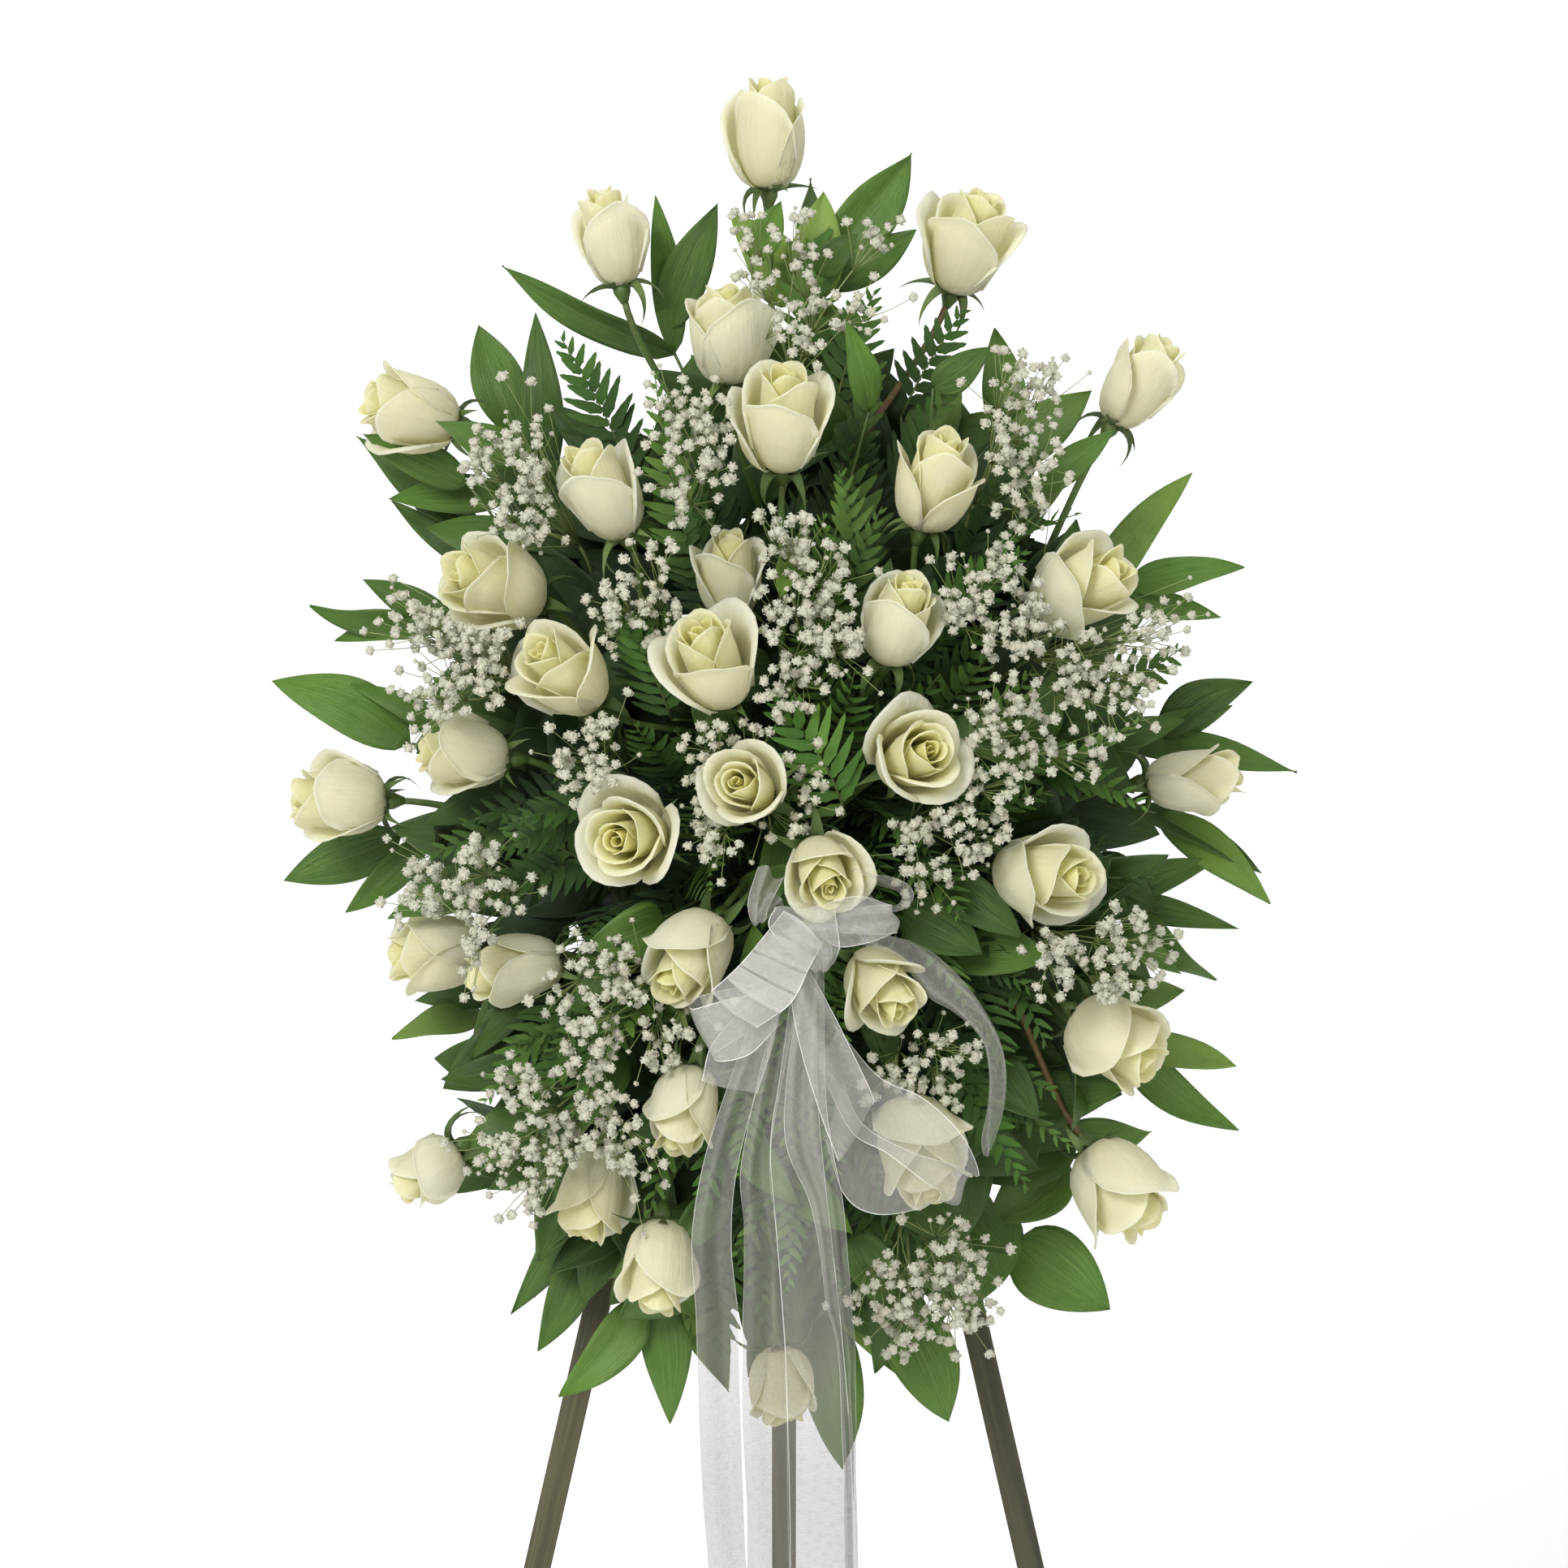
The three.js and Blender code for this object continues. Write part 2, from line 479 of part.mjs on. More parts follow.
// Joins all the pieces of a node, and keeps the one body that holds together.
function joinNode(name, finish) {
  const own = pieces.filter((piece) => piece.node === name).map((piece) => piece.solid);
  const joined = own.reduce((all, solid) => all.add(solid));
  const bodies = joined.decompose();
  if (bodies.length > 1) console.warn(`${name} drops ${bodies.length - 1} scraps`);
  const largest = bodies.reduce((best, body) => (body.volume() > best.volume() ? body : best));
  return addMesh(name, geometryOf(largest), finish);
}

// Easel

const floorHeight = (y) => y * Math.tan(LEAN) - HEAD_Z / Math.cos(LEAN);

// A front leg: a square bar down the splay, cut level at the top of the head and flat on the floor.
function frontLeg(side) {
  const slope = side * LEG_SPLAY;
  const half = (LEG_SIDE / 2) * Math.hypot(1, LEG_SPLAY);
  const corners = [[-half, -1], [half, -1], [half, 1], [-half, 1]];
  const ring = (heightAt) => {
    return corners.map(([dx, back]) => {
      const y = LEG_MIDDLE + (back * LEG_SIDE) / 2;
      const z = heightAt(y);
      return new THREE.Vector3(slope * (LEGS_MEET - z) + dx, y, z);
    });
  };
  return skin([ring(floorHeight), ring(() => LEG_TOP)]);
}

addNode("leg_left", frontLeg(-1), FINISH.wood);
addNode("leg_right", frontLeg(1), FINISH.wood);

for (const { name, z, length } of CROSSBARS) {
  const low = [-length / 2, BAR_FRONT, z - CROSSBAR.height / 2];
  const high = [length / 2, BAR_FRONT + CROSSBAR.depth, z + CROSSBAR.height / 2];
  addNode(name, box(low, high), FINISH.wood);
}

const blockLow = [-HEAD_BLOCK.width / 2, BLOCK_FRONT, HEAD_BLOCK.low];
const blockHigh = [HEAD_BLOCK.width / 2, BLOCK_FRONT + HEAD_BLOCK.depth, HEAD_BLOCK.high];
addNode("head_block", box(blockLow, blockHigh), FINISH.wood);

// The bracket: a plate on the head block with two cheeks that hold the rear leg's bolt.
function bracket() {
  const inner = LEG_SIDE / 2 + BRACKET.play;
  const outer = inner + BRACKET.wall;
  const low = PIVOT_HEIGHT - BRACKET.height / 2;
  const high = PIVOT_HEIGHT + BRACKET.height / 2;
  const back = PIVOT_DEPTH + BRACKET.past_pivot;
  const plateBack = BRACKET_FRONT + BRACKET.wall;
  const plate = box([-outer - BRACKET.flange, BRACKET_FRONT, low], [outer + BRACKET.flange, plateBack, high]);
  const block = box([-outer, BRACKET_FRONT, low], [outer, back, high]);
  const channel = box([-inner, plateBack, low - 1], [inner, back + 1, high + 1]);
  const bore = bar(
    new THREE.Vector3(-outer - 1, PIVOT_DEPTH, PIVOT_HEIGHT),
    new THREE.Vector3(1, 0, 0),
    2 * outer + 2,
    BOLT.radius + BOLT.play,
  );
  return plate.add(block).subtract(channel).subtract(bore);
}

addNode("hinge_bracket", bracket(), FINISH.steel);

function bolt() {
  const across = new THREE.Vector3(1, 0, 0);
  const reachOut = LEG_SIDE / 2 + BRACKET.play + BRACKET.wall + SEAT;
  const at = (x) => new THREE.Vector3(x, PIVOT_DEPTH, PIVOT_HEIGHT);
  const shank = bar(at(-reachOut - 1), across, 2 * reachOut + 2, BOLT.radius);
  const headLeft = bar(at(-reachOut - BOLT.head), across, BOLT.head, BOLT.head_radius, BOLT_SIDES);
  const headRight = bar(at(reachOut), across, BOLT.head, BOLT.head_radius, BOLT_SIDES);
  return shank.add(headLeft).add(headRight);
}

addNode("hinge_bolt", bolt(), FINISH.steel);

// The rear leg, in its own frame with the pivot at its origin, hanging down Z, and cut flat where it
// meets the floor.
const pivot = new THREE.Vector3(0, PIVOT_DEPTH, PIVOT_HEIGHT).applyEuler(head.rotation).add(head.position);
const half = LEG_SIDE / 2;
const rearFoot = (y) => -(pivot.z + y * Math.sin(REAR_LEAN)) / Math.cos(REAR_LEAN);
const rearCorners = [[-half, -half], [half, -half], [half, half], [-half, half]];
const rearBottom = rearCorners.map(([x, y]) => vec([x, y, rearFoot(y)]));
const rearTop = rearBottom.map(({ x, y }) => vec([x, y, HEEL]));
const rearHole = bar(vec([-half - 1, 0, 0]), vec([1, 0, 0]), LEG_SIDE + 2, BOLT.radius + BOLT.play);
const rearSolid = skin([rearBottom, rearTop]).subtract(rearHole);
const rearLeg = addMesh("rear_leg", geometryOf(rearSolid), FINISH.wood, root);
rearLeg.position.copy(pivot);
rearLeg.rotation.x = REAR_LEAN;

// Tray: a back plate with a rim round the foam, and a hook over the upper crossbar.
function tray() {
  const inner = { x: FOAM.width / 2 + SEAT, z: FOAM.height / 2 + SEAT };
  const outer = { x: inner.x + TRAY.wall, z: inner.z + TRAY.wall };
  const plateFront = FOAM_BACK + SEAT;
  const plateBack = plateFront + TRAY.wall;
  const shell = box([-outer.x, plateFront - TRAY.rim, -outer.z], [outer.x, plateBack, outer.z]);
  const pocket = box([-inner.x, plateFront - TRAY.rim - 1, -inner.z], [inner.x, plateFront, inner.z]);
  const barTop = CROSSBARS[0].z + CROSSBAR.height / 2;
  const lipFront = BAR_FRONT + CROSSBAR.depth + SEAT;
  const halfHook = TRAY.hook_width / 2;
  const top = barTop + SEAT + TRAY.wall;
  const arm = box([-halfHook, plateBack - 1, barTop + SEAT], [halfHook, lipFront + TRAY.wall, top]);
  const lip = box([-halfHook, lipFront, barTop - TRAY.hook_drop], [halfHook, lipFront + TRAY.wall, top]);
  return shell.subtract(pocket).add(arm).add(lip);
}

addNode("tray", tray(), FINISH.plastic);

// Foam, with a plain hole for each bunch and each stem of baby's breath.
const breathHoles = BREATH.map(({ at, out }) => ({ at, out, radius: 2 * BREATH_RADIUS }));
const pickHole = { at: [KNOT[0], -FOAM_BACK, KNOT[2]], out: [0, -1, 0], radius: PICK.radius };
const holes = [...Object.values(BUNCHES), ...breathHoles, pickHole];

function hole({ at, out, radius }) {
  const from = vec(at).addScaledVector(vec(out), 1);
  const play = SEAT / Math.cos(Math.PI / PLUG_SIDES);
  return bar(from, vec(out).negate(), HOLE_DEPTH + 1 + SEAT, radius + play, PLUG_SIDES);
}

const halfFoam = [FOAM.width / 2, FOAM.depth / 2, FOAM.height / 2];
const foamBlock = box(halfFoam.map((v) => -v), halfFoam);
addNode("foam", holes.map(hole).reduce((block, cut) => block.subtract(cut), foamBlock), FINISH.foam);

// Roses

// The unit vector along a bloom, from its stem to its opening.
function bloomAxis({ turn, facing }) {
  const angle = THREE.MathUtils.degToRad(turn);
  const flat = Math.sqrt(1 - facing * facing);
  return new THREE.Vector3(flat * Math.cos(angle), -facing, flat * Math.sin(angle));
}

// The base of a bloom, where its petals meet the calyx.
const bloomBase = (rose) => vec(rose.at).addScaledVector(bloomAxis(rose), -rose.length / 2);

// The matrix of a frame at a bloom's base, with its Z along the bloom and a turn about it.
function bloomFrame(rose, spin) {
  const turn = new THREE.Quaternion().setFromUnitVectors(new THREE.Vector3(0, 0, 1), bloomAxis(rose));
  turn.multiply(new THREE.Quaternion().setFromAxisAngle(new THREE.Vector3(0, 0, 1), spin));
  return new THREE.Matrix4().compose(bloomBase(rose), turn, new THREE.Vector3(1, 1, 1));
}

// The folds of a bloom from its base over the outer petals' rim, into the crevice behind it, up to the
// next rim and on to the heart. A row is [radius as a share of the widest, height as a share of the
// length, petal step, layer].
function bloomFolds(open) {
  return [
    [lerp(0.72, 0.62, open), 0.15, 0.03, 0],
    [lerp(1.0, 0.88, open), 0.42, 0.06, 0],
    [lerp(0.74, 1.02, open), lerp(0.8, 0.68, open), 0.16, 0],
    [lerp(0.58, 0.64, open), lerp(0.72, 0.56, open), 0.08, 0],
    [lerp(0.54, 0.76, open), lerp(0.92, 0.86, open), 0.16, 1],
    [lerp(0.36, 0.42, open), lerp(0.84, 0.7, open), 0.08, 1],
    [lerp(0.32, 0.44, open), lerp(0.98, 0.96, open), 0.18, 2],
  ];
}

// A bloom: petals in layers, three points to each, whose free edge stands out over the next petal.
function bloom(rose, index) {
  const radius = rose.width / 2;
  const petals = rose.open < PETALS.opens_at ? PETALS.bud : PETALS.open;
  const rings = bloomFolds(rose.open).map(([share, height, step, layer]) => {
    const ring = [];
    for (let j = 0; j < 3 * petals; j++) {
      const petal = Math.floor((j + layer) / 3) % petals; // each layer starts a third of a petal on
      const across = ((j + layer) % 3) - 1;
      const wild = 1 + 0.5 * step * (draw(index * 97 + layer * 31 + petal) - 0.5);
      const r = radius * share * (1 + step * 0.62 * across) * wild;
      const angle = (2 * Math.PI * (j + 0.35 * across)) / (3 * petals);
      const lift = step * rose.length * (across === 0 ? 0.24 : -0.12);
      ring.push(new THREE.Vector3(r * Math.cos(angle), r * Math.sin(angle), rose.length * height + lift));
    }
    return ring;
  });
  const heart = new THREE.Vector3(0, 0, rose.length * lerp(0.9, 0.82, rose.open));
  const points = [[new THREE.Vector3(0, 0, 0)], ...rings, [heart]];
  const frame = bloomFrame(rose, 2 * Math.PI * draw(index + 500));
  return skin(points.map((ring) => ring.map((point) => point.applyMatrix4(frame))));
}

const roseName = (index) => `rose_${String(index + 1).padStart(2, "0")}`;
ROSES.forEach((rose, index) => addNode(roseName(index), bloom(rose, index), FINISH.petal));

// The calyx: the hip under a bloom and its five sepals, as one star.
function calyx(rose, index) {
  const rim = -1.6; // just under the petals
  const droop = lerp(1, 7, draw(index + 700));
  const star = Array.from({ length: CALYX.points }, (_, j) => {
    const angle = (2 * Math.PI * j) / CALYX.points;
    const [radius, height] = j % 2 === 0 ? [CALYX.sepal, rim - droop] : [CALYX.hip, rim];
    return new THREE.Vector3(radius * Math.cos(angle), radius * Math.sin(angle), height);
  });
  const rings = [[new THREE.Vector3(0, 0, -CALYX.depth)], star, [new THREE.Vector3(0, 0, -SEAT)]];
  const frame = bloomFrame(rose, 2 * Math.PI * draw(index + 600));
  return skin(rings.map((row) => row.map((point) => point.applyMatrix4(frame))));
}

// Ribbon

// A strip along a curve, whose width turns from one angle to another about the curve.
function strip(points, turn, width) {
  const curve = new THREE.CatmullRomCurve3(points.map(vec));
  const steps = Math.round(1.6 * (points.length - 1));
  const rings = [];
  for (let i = 0; i <= steps; i++) {
    const middle = curve.getPoint(i / steps);
    const tangent = curve.getTangent(i / steps);
    const angle = THREE.MathUtils.degToRad(lerp(turn[0], turn[1], i / steps));
    const across = new THREE.Vector3(Math.cos(angle), Math.sin(angle), 0);
    across.addScaledVector(tangent, -across.dot(tangent)).normalize();
    rings.push(stripSection(middle, tangent, across, width * lerp(GATHER, 1, Math.min(1, i / 3))));
  }
  return skin(rings, STRIP_BACK);
}

// The side of a strip's section that is split as the side in front of it is, so that the two never cross.
const STRIP_BACK = [3];

function stripSection(middle, tangent, across, width) {
  const normal = tangent.clone().cross(across);
  const corners = [[1, -1], [1, 1], [-1, 1], [-1, -1]];
  return corners.map(([side, face]) => {
    const point = middle.clone().addScaledVector(across, (side * width) / 2);
    return point.addScaledVector(normal, (face * RIBBON.thickness) / 2);
  });
}

// A loop of ribbon that leaves the knot and comes back to it, in two halves that cross each other in the knot.
function loop({ turn, length, height, roll, forward }) {
  const angle = THREE.MathUtils.degToRad(turn);
  const along = new THREE.Vector3(Math.cos(angle), -forward, Math.sin(angle)).normalize();
  const sideways = new THREE.Vector3(-Math.sin(angle), 0, Math.cos(angle));
  const depth = along.clone().cross(sideways);
  const tilt = THREE.MathUtils.degToRad(roll);
  const across = sideways.clone().multiplyScalar(Math.cos(tilt)).addScaledVector(depth, Math.sin(tilt));
  const open = along.clone().cross(across);
  const at = (t) => {
    const point = vec(KNOT).addScaledVector(along, length * Math.sin(Math.PI * t));
    return point.addScaledVector(open, (height / 2) * Math.sin(2 * Math.PI * t));
  };
  const rings = [];
  for (let i = 0; i <= LOOP_STEPS; i++) {
    const t = lerp(0.04, 0.96, i / LOOP_STEPS);
    const tangent = at(t + 0.01).sub(at(t - 0.01)).normalize();
    const width = RIBBON.width * lerp(GATHER, 1, Math.min(1, 1.5 * Math.sin(Math.PI * t)));
    rings.push(stripSection(at(t), tangent, across, width));
  }
  const middle = LOOP_STEPS / 2;
  return skin(rings.slice(0, middle + 1), STRIP_BACK).add(skin(rings.slice(middle), STRIP_BACK));
}

// The knot: a short band round the gathered ribbon.
function knot() {
  const matrix = new THREE.Matrix4().compose(vec(KNOT), new THREE.Quaternion(), vec(KNOT_SIZE));
  return solidFrom(new THREE.SphereGeometry(1, 6, 4), matrix);
}

// The pick, from the knot into the foam.
function pick() {
  const length = -FOAM_BACK - KNOT[1] + PICK.sunk;
  return bar(vec(KNOT), new THREE.Vector3(0, 1, 0), length, PICK.radius, PLUG_SIDES);
}

const tails = TAILS.map(({ points, turn, width }) => strip(points, turn, width));
for (const piece of [knot(), pick(), ...tails, ...LOOPS.map(loop)]) fill("ribbon", piece);
joinNode("ribbon", FINISH.ribbon);

// Stems, sprigs and fronds

const bunchNode = (bunch) => `greens_${bunch}`;

// The gathered ends of a bunch, which stand in its hole in the foam.
function plug({ at, out, radius }, stub) {
  const axis = vec(out);
  const turn = new THREE.Quaternion().setFromUnitVectors(new THREE.Vector3(0, 1, 0), axis);
  const ring = (distance, share) => {
    return Array.from({ length: PLUG_SIDES }, (_, j) => {
      const angle = -(2 * Math.PI * j) / PLUG_SIDES;
      const r = radius * share;
      const local = new THREE.Vector3(r * Math.sin(-angle), distance, r * Math.cos(angle));
      return local.applyQuaternion(turn).add(vec(at));
    });
  };
  return skin([ring(-HOLE_DEPTH, 0.8), ring(0, 1), ring(stub, 0.7)]);
}

for (const [name, bunch] of Object.entries(BUNCHES)) fill(bunchNode(name), plug(bunch, STUB.bunch), true);

// Where a stalk leaves its bunch: towards its own goal, so that the stalks fan out without crossing.
function rootFor({ at, out, radius }, goal) {
  const sideways = goal.clone().sub(vec(at));
  sideways.addScaledVector(vec(out), -sideways.dot(vec(out))).normalize();
  return vec(at).addScaledVector(vec(out), ROOT_OUT).addScaledVector(sideways, 0.6 * radius);
}

const isOwnPlug = (node, piece) => piece.node === node && piece.isPlug;

const bendOf = (seed, k) => drawDirection(seed + k * 7.3).multiplyScalar(3.5 * k);

// The first of several curves along which a stalk is clear of every other node, and past its root also
// of the other stalks of its own node, or null. curveFor(k) gives the curve of try number k.
function clearWay(node, radius, tries, curveFor) {
  const thick = radius + CLEARANCE;
  for (let k = 0; k < tries; k++) {
    const curve = curveFor(k);
    if (!isClear(stalk(curve, thick), (piece) => piece.node === node)) continue;
    if (isClear(stalk(curve, thick, ROOT_SHARE), (piece) => isOwnPlug(node, piece))) return curve;
  }
  return null;
}

// Rose stems
ROSES.forEach((rose, index) => {
  const node = bunchNode(rose.bunch);
  const bunch = BUNCHES[rose.bunch];
  const axis = bloomAxis(rose);
  const to = bloomBase(rose).addScaledVector(axis, -CALYX.depth / 2);
  const from = rootFor(bunch, to);
  const curveFor = (k) => reach(from, vec(bunch.out), to, axis, bendOf(index * 13, k));
  const curve = clearWay(node, STEM_RADIUS, TRIES.stem, curveFor);
  if (!curve) console.warn(`no way for the stem of ${roseName(index)}`);
  fill(node, stalk(curve ?? curveFor(0), STEM_RADIUS));
  fill(node, calyx(rose, index));
});

// The dome that the spray's face follows: its depth in front of the foam for a place in the XZ plane.
function domeDepth(x, z) {
  const r = Math.min(1, Math.hypot(x / DOME.half_width, z / DOME.half_height));
  return -DOME.rim - DOME.rise * Math.sqrt(1 - r * r);
}

// Main stems of the baby's breath, each to the root of a cloud well behind the dome
const NO_BEND = new THREE.Vector3();
const breathNode = (name) => `breath_${name}`;
const cloudStems = new Map();
const cloudPieces = new Map();
BREATH.forEach(({ name, at, out, clouds }, row) => {
  const node = breathNode(name);
  fill(node, plug({ at, out, radius: 2 * BREATH_RADIUS }, STUB.breath), true);
  const from = vec(at).addScaledVector(vec(out), ROOT_OUT);
  clouds.forEach(([x, z], column) => {
    const key = `${name}_${column}`;
    const curveFor = (k) => {
      const to = vec([CLOUD_ROOT.across * x, CLOUD_ROOT.depth * domeDepth(x, z), CLOUD_ROOT.up * z]);
      to.add(bendOf(row * 29 + column * 5 + 3, k));
      const arriving = vec([x, domeDepth(x, z), z]).sub(to).normalize();
      return reach(from, vec(out), to, arriving, NO_BEND);
    };
    const curve = clearWay(node, BREATH_RADIUS, TRIES.breath, curveFor);
    if (!curve) {
      console.warn(`no way for the baby's breath ${key}`);
      return;
    }
    cloudStems.set(key, curve);
    cloudPieces.set(key, fill(node, stalk(curve, BREATH_RADIUS)));
  });
});

// Fern fronds, each on a stalk from its bunch
FRONDS.forEach(({ bunch, root: rootPoint, tip, width }, index) => {
  const node = bunchNode(bunch);
  const out = vec(BUNCHES[bunch].out);
  const facing = new THREE.Vector3(draw(index + 40) - 0.5, -1, draw(index + 60) - 0.5).normalize();
  const shape = { arch: 0.06, rise: 0.12 };
  for (let k = 0; k < TRIES.frond; k++) {
    const shift = bendOf(index * 17 + 900, k / 2);
    const start = vec(rootPoint).add(shift);
    const end = vec(tip).addScaledVector(shift, 1.4);
    const thick = blade(start, end, width, frondOutline(), facing, { ...shape, grow: CLEARANCE });
    if (!isClear(thick, () => false)) continue;
    const from = rootFor(BUNCHES[bunch], start);
    const arriving = end.clone().sub(start).normalize();
    const curveFor = (j) => reach(from, out, start, arriving, bendOf(index * 31 + 77, j));
    const curve = clearWay(node, TWIG_RADIUS, TRIES.frond_stalk, curveFor);
    if (!curve) continue;
    fill(node, stalk(curve, TWIG_RADIUS));
    fill(node, blade(onStalk(curve, 0.96), end, width, frondOutline(), facing, shape));
    return;
  }
  console.warn(`no room for frond ${index}`);
});

// Leafy sprigs
SPRIGS.forEach(({ bunch, end, leaves }, index) => {
  const node = bunchNode(bunch);
  const out = vec(BUNCHES[bunch].out);
  const from = rootFor(BUNCHES[bunch], vec(end));
  const curveFor = (k) => {
    const to = vec(end).add(bendOf(index * 19 + 1300, k));
    return reach(from, out, to, to.clone().sub(from).normalize(), NO_BEND);
  };
  const route = clearWay(node, TWIG_RADIUS, TRIES.sprig, curveFor);
  if (!route) {
    console.warn(`no way for sprig ${index}`);
    return;
  }
  const twig = fill(node, stalk(route, TWIG_RADIUS));
  leaves.forEach(([place, x, z, width], order) => {
    const base = onStalk(route, place * 0.98);
    const seed = index * 23 + order * 3 + 1700;
    const outline = width < BROAD_WIDTH ? SLIM_LEAF : BROAD_LEAF;
    const makeLeaf = (k, grow) => {
      const tip = vec([x, base.y + 24 * (draw(seed) - 0.5), z]).add(bendOf(seed, k));
      const facing = vec([1.2 * (draw(seed + 1) - 0.5), -1, 1.2 * (draw(seed + 2) - 0.5)]).normalize();
      const start = grow ? base.clone().lerp(tip, 0.12) : base;
      return blade(start, tip, width, outline, facing, { grow });
    };
    const leaf = firstClear((piece) => piece === twig, TRIES.leaf, makeLeaf);
    if (leaf) fill(node, leaf);
    else console.warn(`no room for leaf ${order} of sprig ${index}`);
  });
});

// Florets: each a small bud on a thread from the root of its cloud
function floret(rootPoint, tip, grow) {
  const axis = tip.clone().sub(rootPoint).normalize();
  const turn = new THREE.Quaternion().setFromUnitVectors(new THREE.Vector3(0, 0, 1), axis);
  const ring = (middle, radius) => {
    return Array.from({ length: 4 }, (_, j) => {
      const angle = (Math.PI * j) / 2;
      const point = new THREE.Vector3(radius * Math.cos(angle), radius * Math.sin(angle), 0);
      return point.applyQuaternion(turn).add(middle);
    });
  };
  const neck = tip.clone().addScaledVector(axis, -FLORET_RADIUS);
  const top = tip.clone().addScaledVector(axis, FLORET_RADIUS * 0.8 + grow);
  return skin([[rootPoint], ring(neck, 0.8 + grow), ring(tip, FLORET_RADIUS + grow), [top]]);
}

let missing = 0;
BREATH.forEach(({ name, clouds }, row) => {
  const node = breathNode(name);
  clouds.forEach(([x, z, wide, high, count], column) => {
    const stem = cloudStems.get(`${name}_${column}`);
    if (!stem) return;
    for (let i = 0; i < count; i++) {
      const seed = row * 1000 + column * 100 + i * 4 + 2600;
      const rootPoint = onStalk(stem, lerp(0.8, 0.99, i / count));
      const make = (k, grow) => {
        const angle = 2 * Math.PI * draw(seed + k * 11.3);
        const r = Math.sqrt(draw(seed + k * 17.9 + 1));
        const [u, w] = [x + wide * r * Math.cos(angle), z + high * r * Math.sin(angle)];
        const tip = vec([u, domeDepth(u, w) + lerp(0, 34, draw(seed + k * 5.1 + 2)), w]);
        return floret(grow ? rootPoint.clone().lerp(tip, 0.15) : rootPoint, tip, grow);
      };
      const ownStem = cloudPieces.get(`${name}_${column}`);
      const bud = firstClear((piece) => piece === ownStem, TRIES.floret, make);
      if (bud) fill(node, bud);
      else missing++;
    }
  });
});
if (missing) console.warn(`${missing} florets found no room`);

for (const name of Object.keys(BUNCHES)) joinNode(bunchNode(name), FINISH.leaf);
for (const { name } of BREATH) joinNode(breathNode(name), FINISH.breath);

export default root;
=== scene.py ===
"""The looks of a standing rose arrangement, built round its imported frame.

All tables are in millimetres in the spray's own frame, which leans back with the easel: x to the
right, z up along the easel, and y away from the viewer, from the middle of the foam. Meshes are made
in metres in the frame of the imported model.
"""

import json
import logging
import math
from collections.abc import Sequence
from dataclasses import dataclass, field
from enum import Enum, IntEnum
from functools import lru_cache

import bpy
import numpy as np
from mathutils import Matrix, Vector

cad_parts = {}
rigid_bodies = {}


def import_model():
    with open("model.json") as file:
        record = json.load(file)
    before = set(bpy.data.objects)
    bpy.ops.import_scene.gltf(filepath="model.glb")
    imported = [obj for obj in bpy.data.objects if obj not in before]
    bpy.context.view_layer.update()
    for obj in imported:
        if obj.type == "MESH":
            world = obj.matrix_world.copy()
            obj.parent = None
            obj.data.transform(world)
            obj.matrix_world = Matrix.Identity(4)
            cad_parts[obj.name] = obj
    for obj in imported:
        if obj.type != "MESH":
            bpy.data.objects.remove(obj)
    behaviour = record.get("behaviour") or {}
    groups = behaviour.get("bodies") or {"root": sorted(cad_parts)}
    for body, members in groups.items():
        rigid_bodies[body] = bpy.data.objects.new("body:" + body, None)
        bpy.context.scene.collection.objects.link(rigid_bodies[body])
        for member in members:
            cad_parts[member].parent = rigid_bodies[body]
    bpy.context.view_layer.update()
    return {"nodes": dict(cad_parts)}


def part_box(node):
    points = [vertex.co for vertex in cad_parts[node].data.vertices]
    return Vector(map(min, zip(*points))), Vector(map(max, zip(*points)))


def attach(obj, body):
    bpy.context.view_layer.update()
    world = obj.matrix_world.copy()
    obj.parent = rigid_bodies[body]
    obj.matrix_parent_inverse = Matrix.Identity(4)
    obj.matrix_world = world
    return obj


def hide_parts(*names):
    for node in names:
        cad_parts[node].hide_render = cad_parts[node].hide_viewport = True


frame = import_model()
LOG = logging.getLogger("rose_spray")

Numbers = Sequence[float]
Array = np.ndarray
Colour = tuple[float, float, float, float]
Socket = bpy.types.NodeSocket

MM = 0.001
LEAN = math.radians(13)
GOLDEN = math.radians(137.508)  # the turn from one petal of a spiral to the next
WHITE: Colour = (1.0, 1.0, 1.0, 1.0)
ASKEW = (0.31, 0.87, 0.38)  # no bloom points this way, so each one's turning is measured from it
FLORET_ASKEW = (0.2, 0.9, 0.4)  # the same for the florets
PETAL_NET = (12, 10)  # quads across and along
SEPAL_NET = (4, 8)
LEAFLET_NET = (2, 8)
ROSE_FOOT = 26.0  # how deep the roses' stems stand in the foam
TWIG_FOOT = 24.0  # how deep the other stalks stand in it


class Body(Enum):
    """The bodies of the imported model."""

    STAND = "stand"
    REAR_LEG = "rear_leg"


class Slot(Enum):
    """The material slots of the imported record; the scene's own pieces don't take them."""

    PETALS = "petals"
    FOLIAGE = "foliage"
    BREATH = "babys_breath"
    RIBBON = "sheer_ribbon"
    WOOD = "stained_wood"
    PLASTIC = "tray_plastic"


class Hold(Enum):
    """How a sheet of cloth is held."""

    GATHERED = "gathered"
    HUNG = "hung"


class Seed(IntEnum):
    """Where each kind of part's random draws start."""

    BREATH = 700
    SPRIG = 1700
    INNER_LEAF = 2600
    FROND = 2800
    FERN = 3300
    FERN_BLADE = 3400
    LEAF = 3700
    LEAF_BLADE = 3900
    BLOOM = 4100
    CALYX = 5200
    STEM = 6300


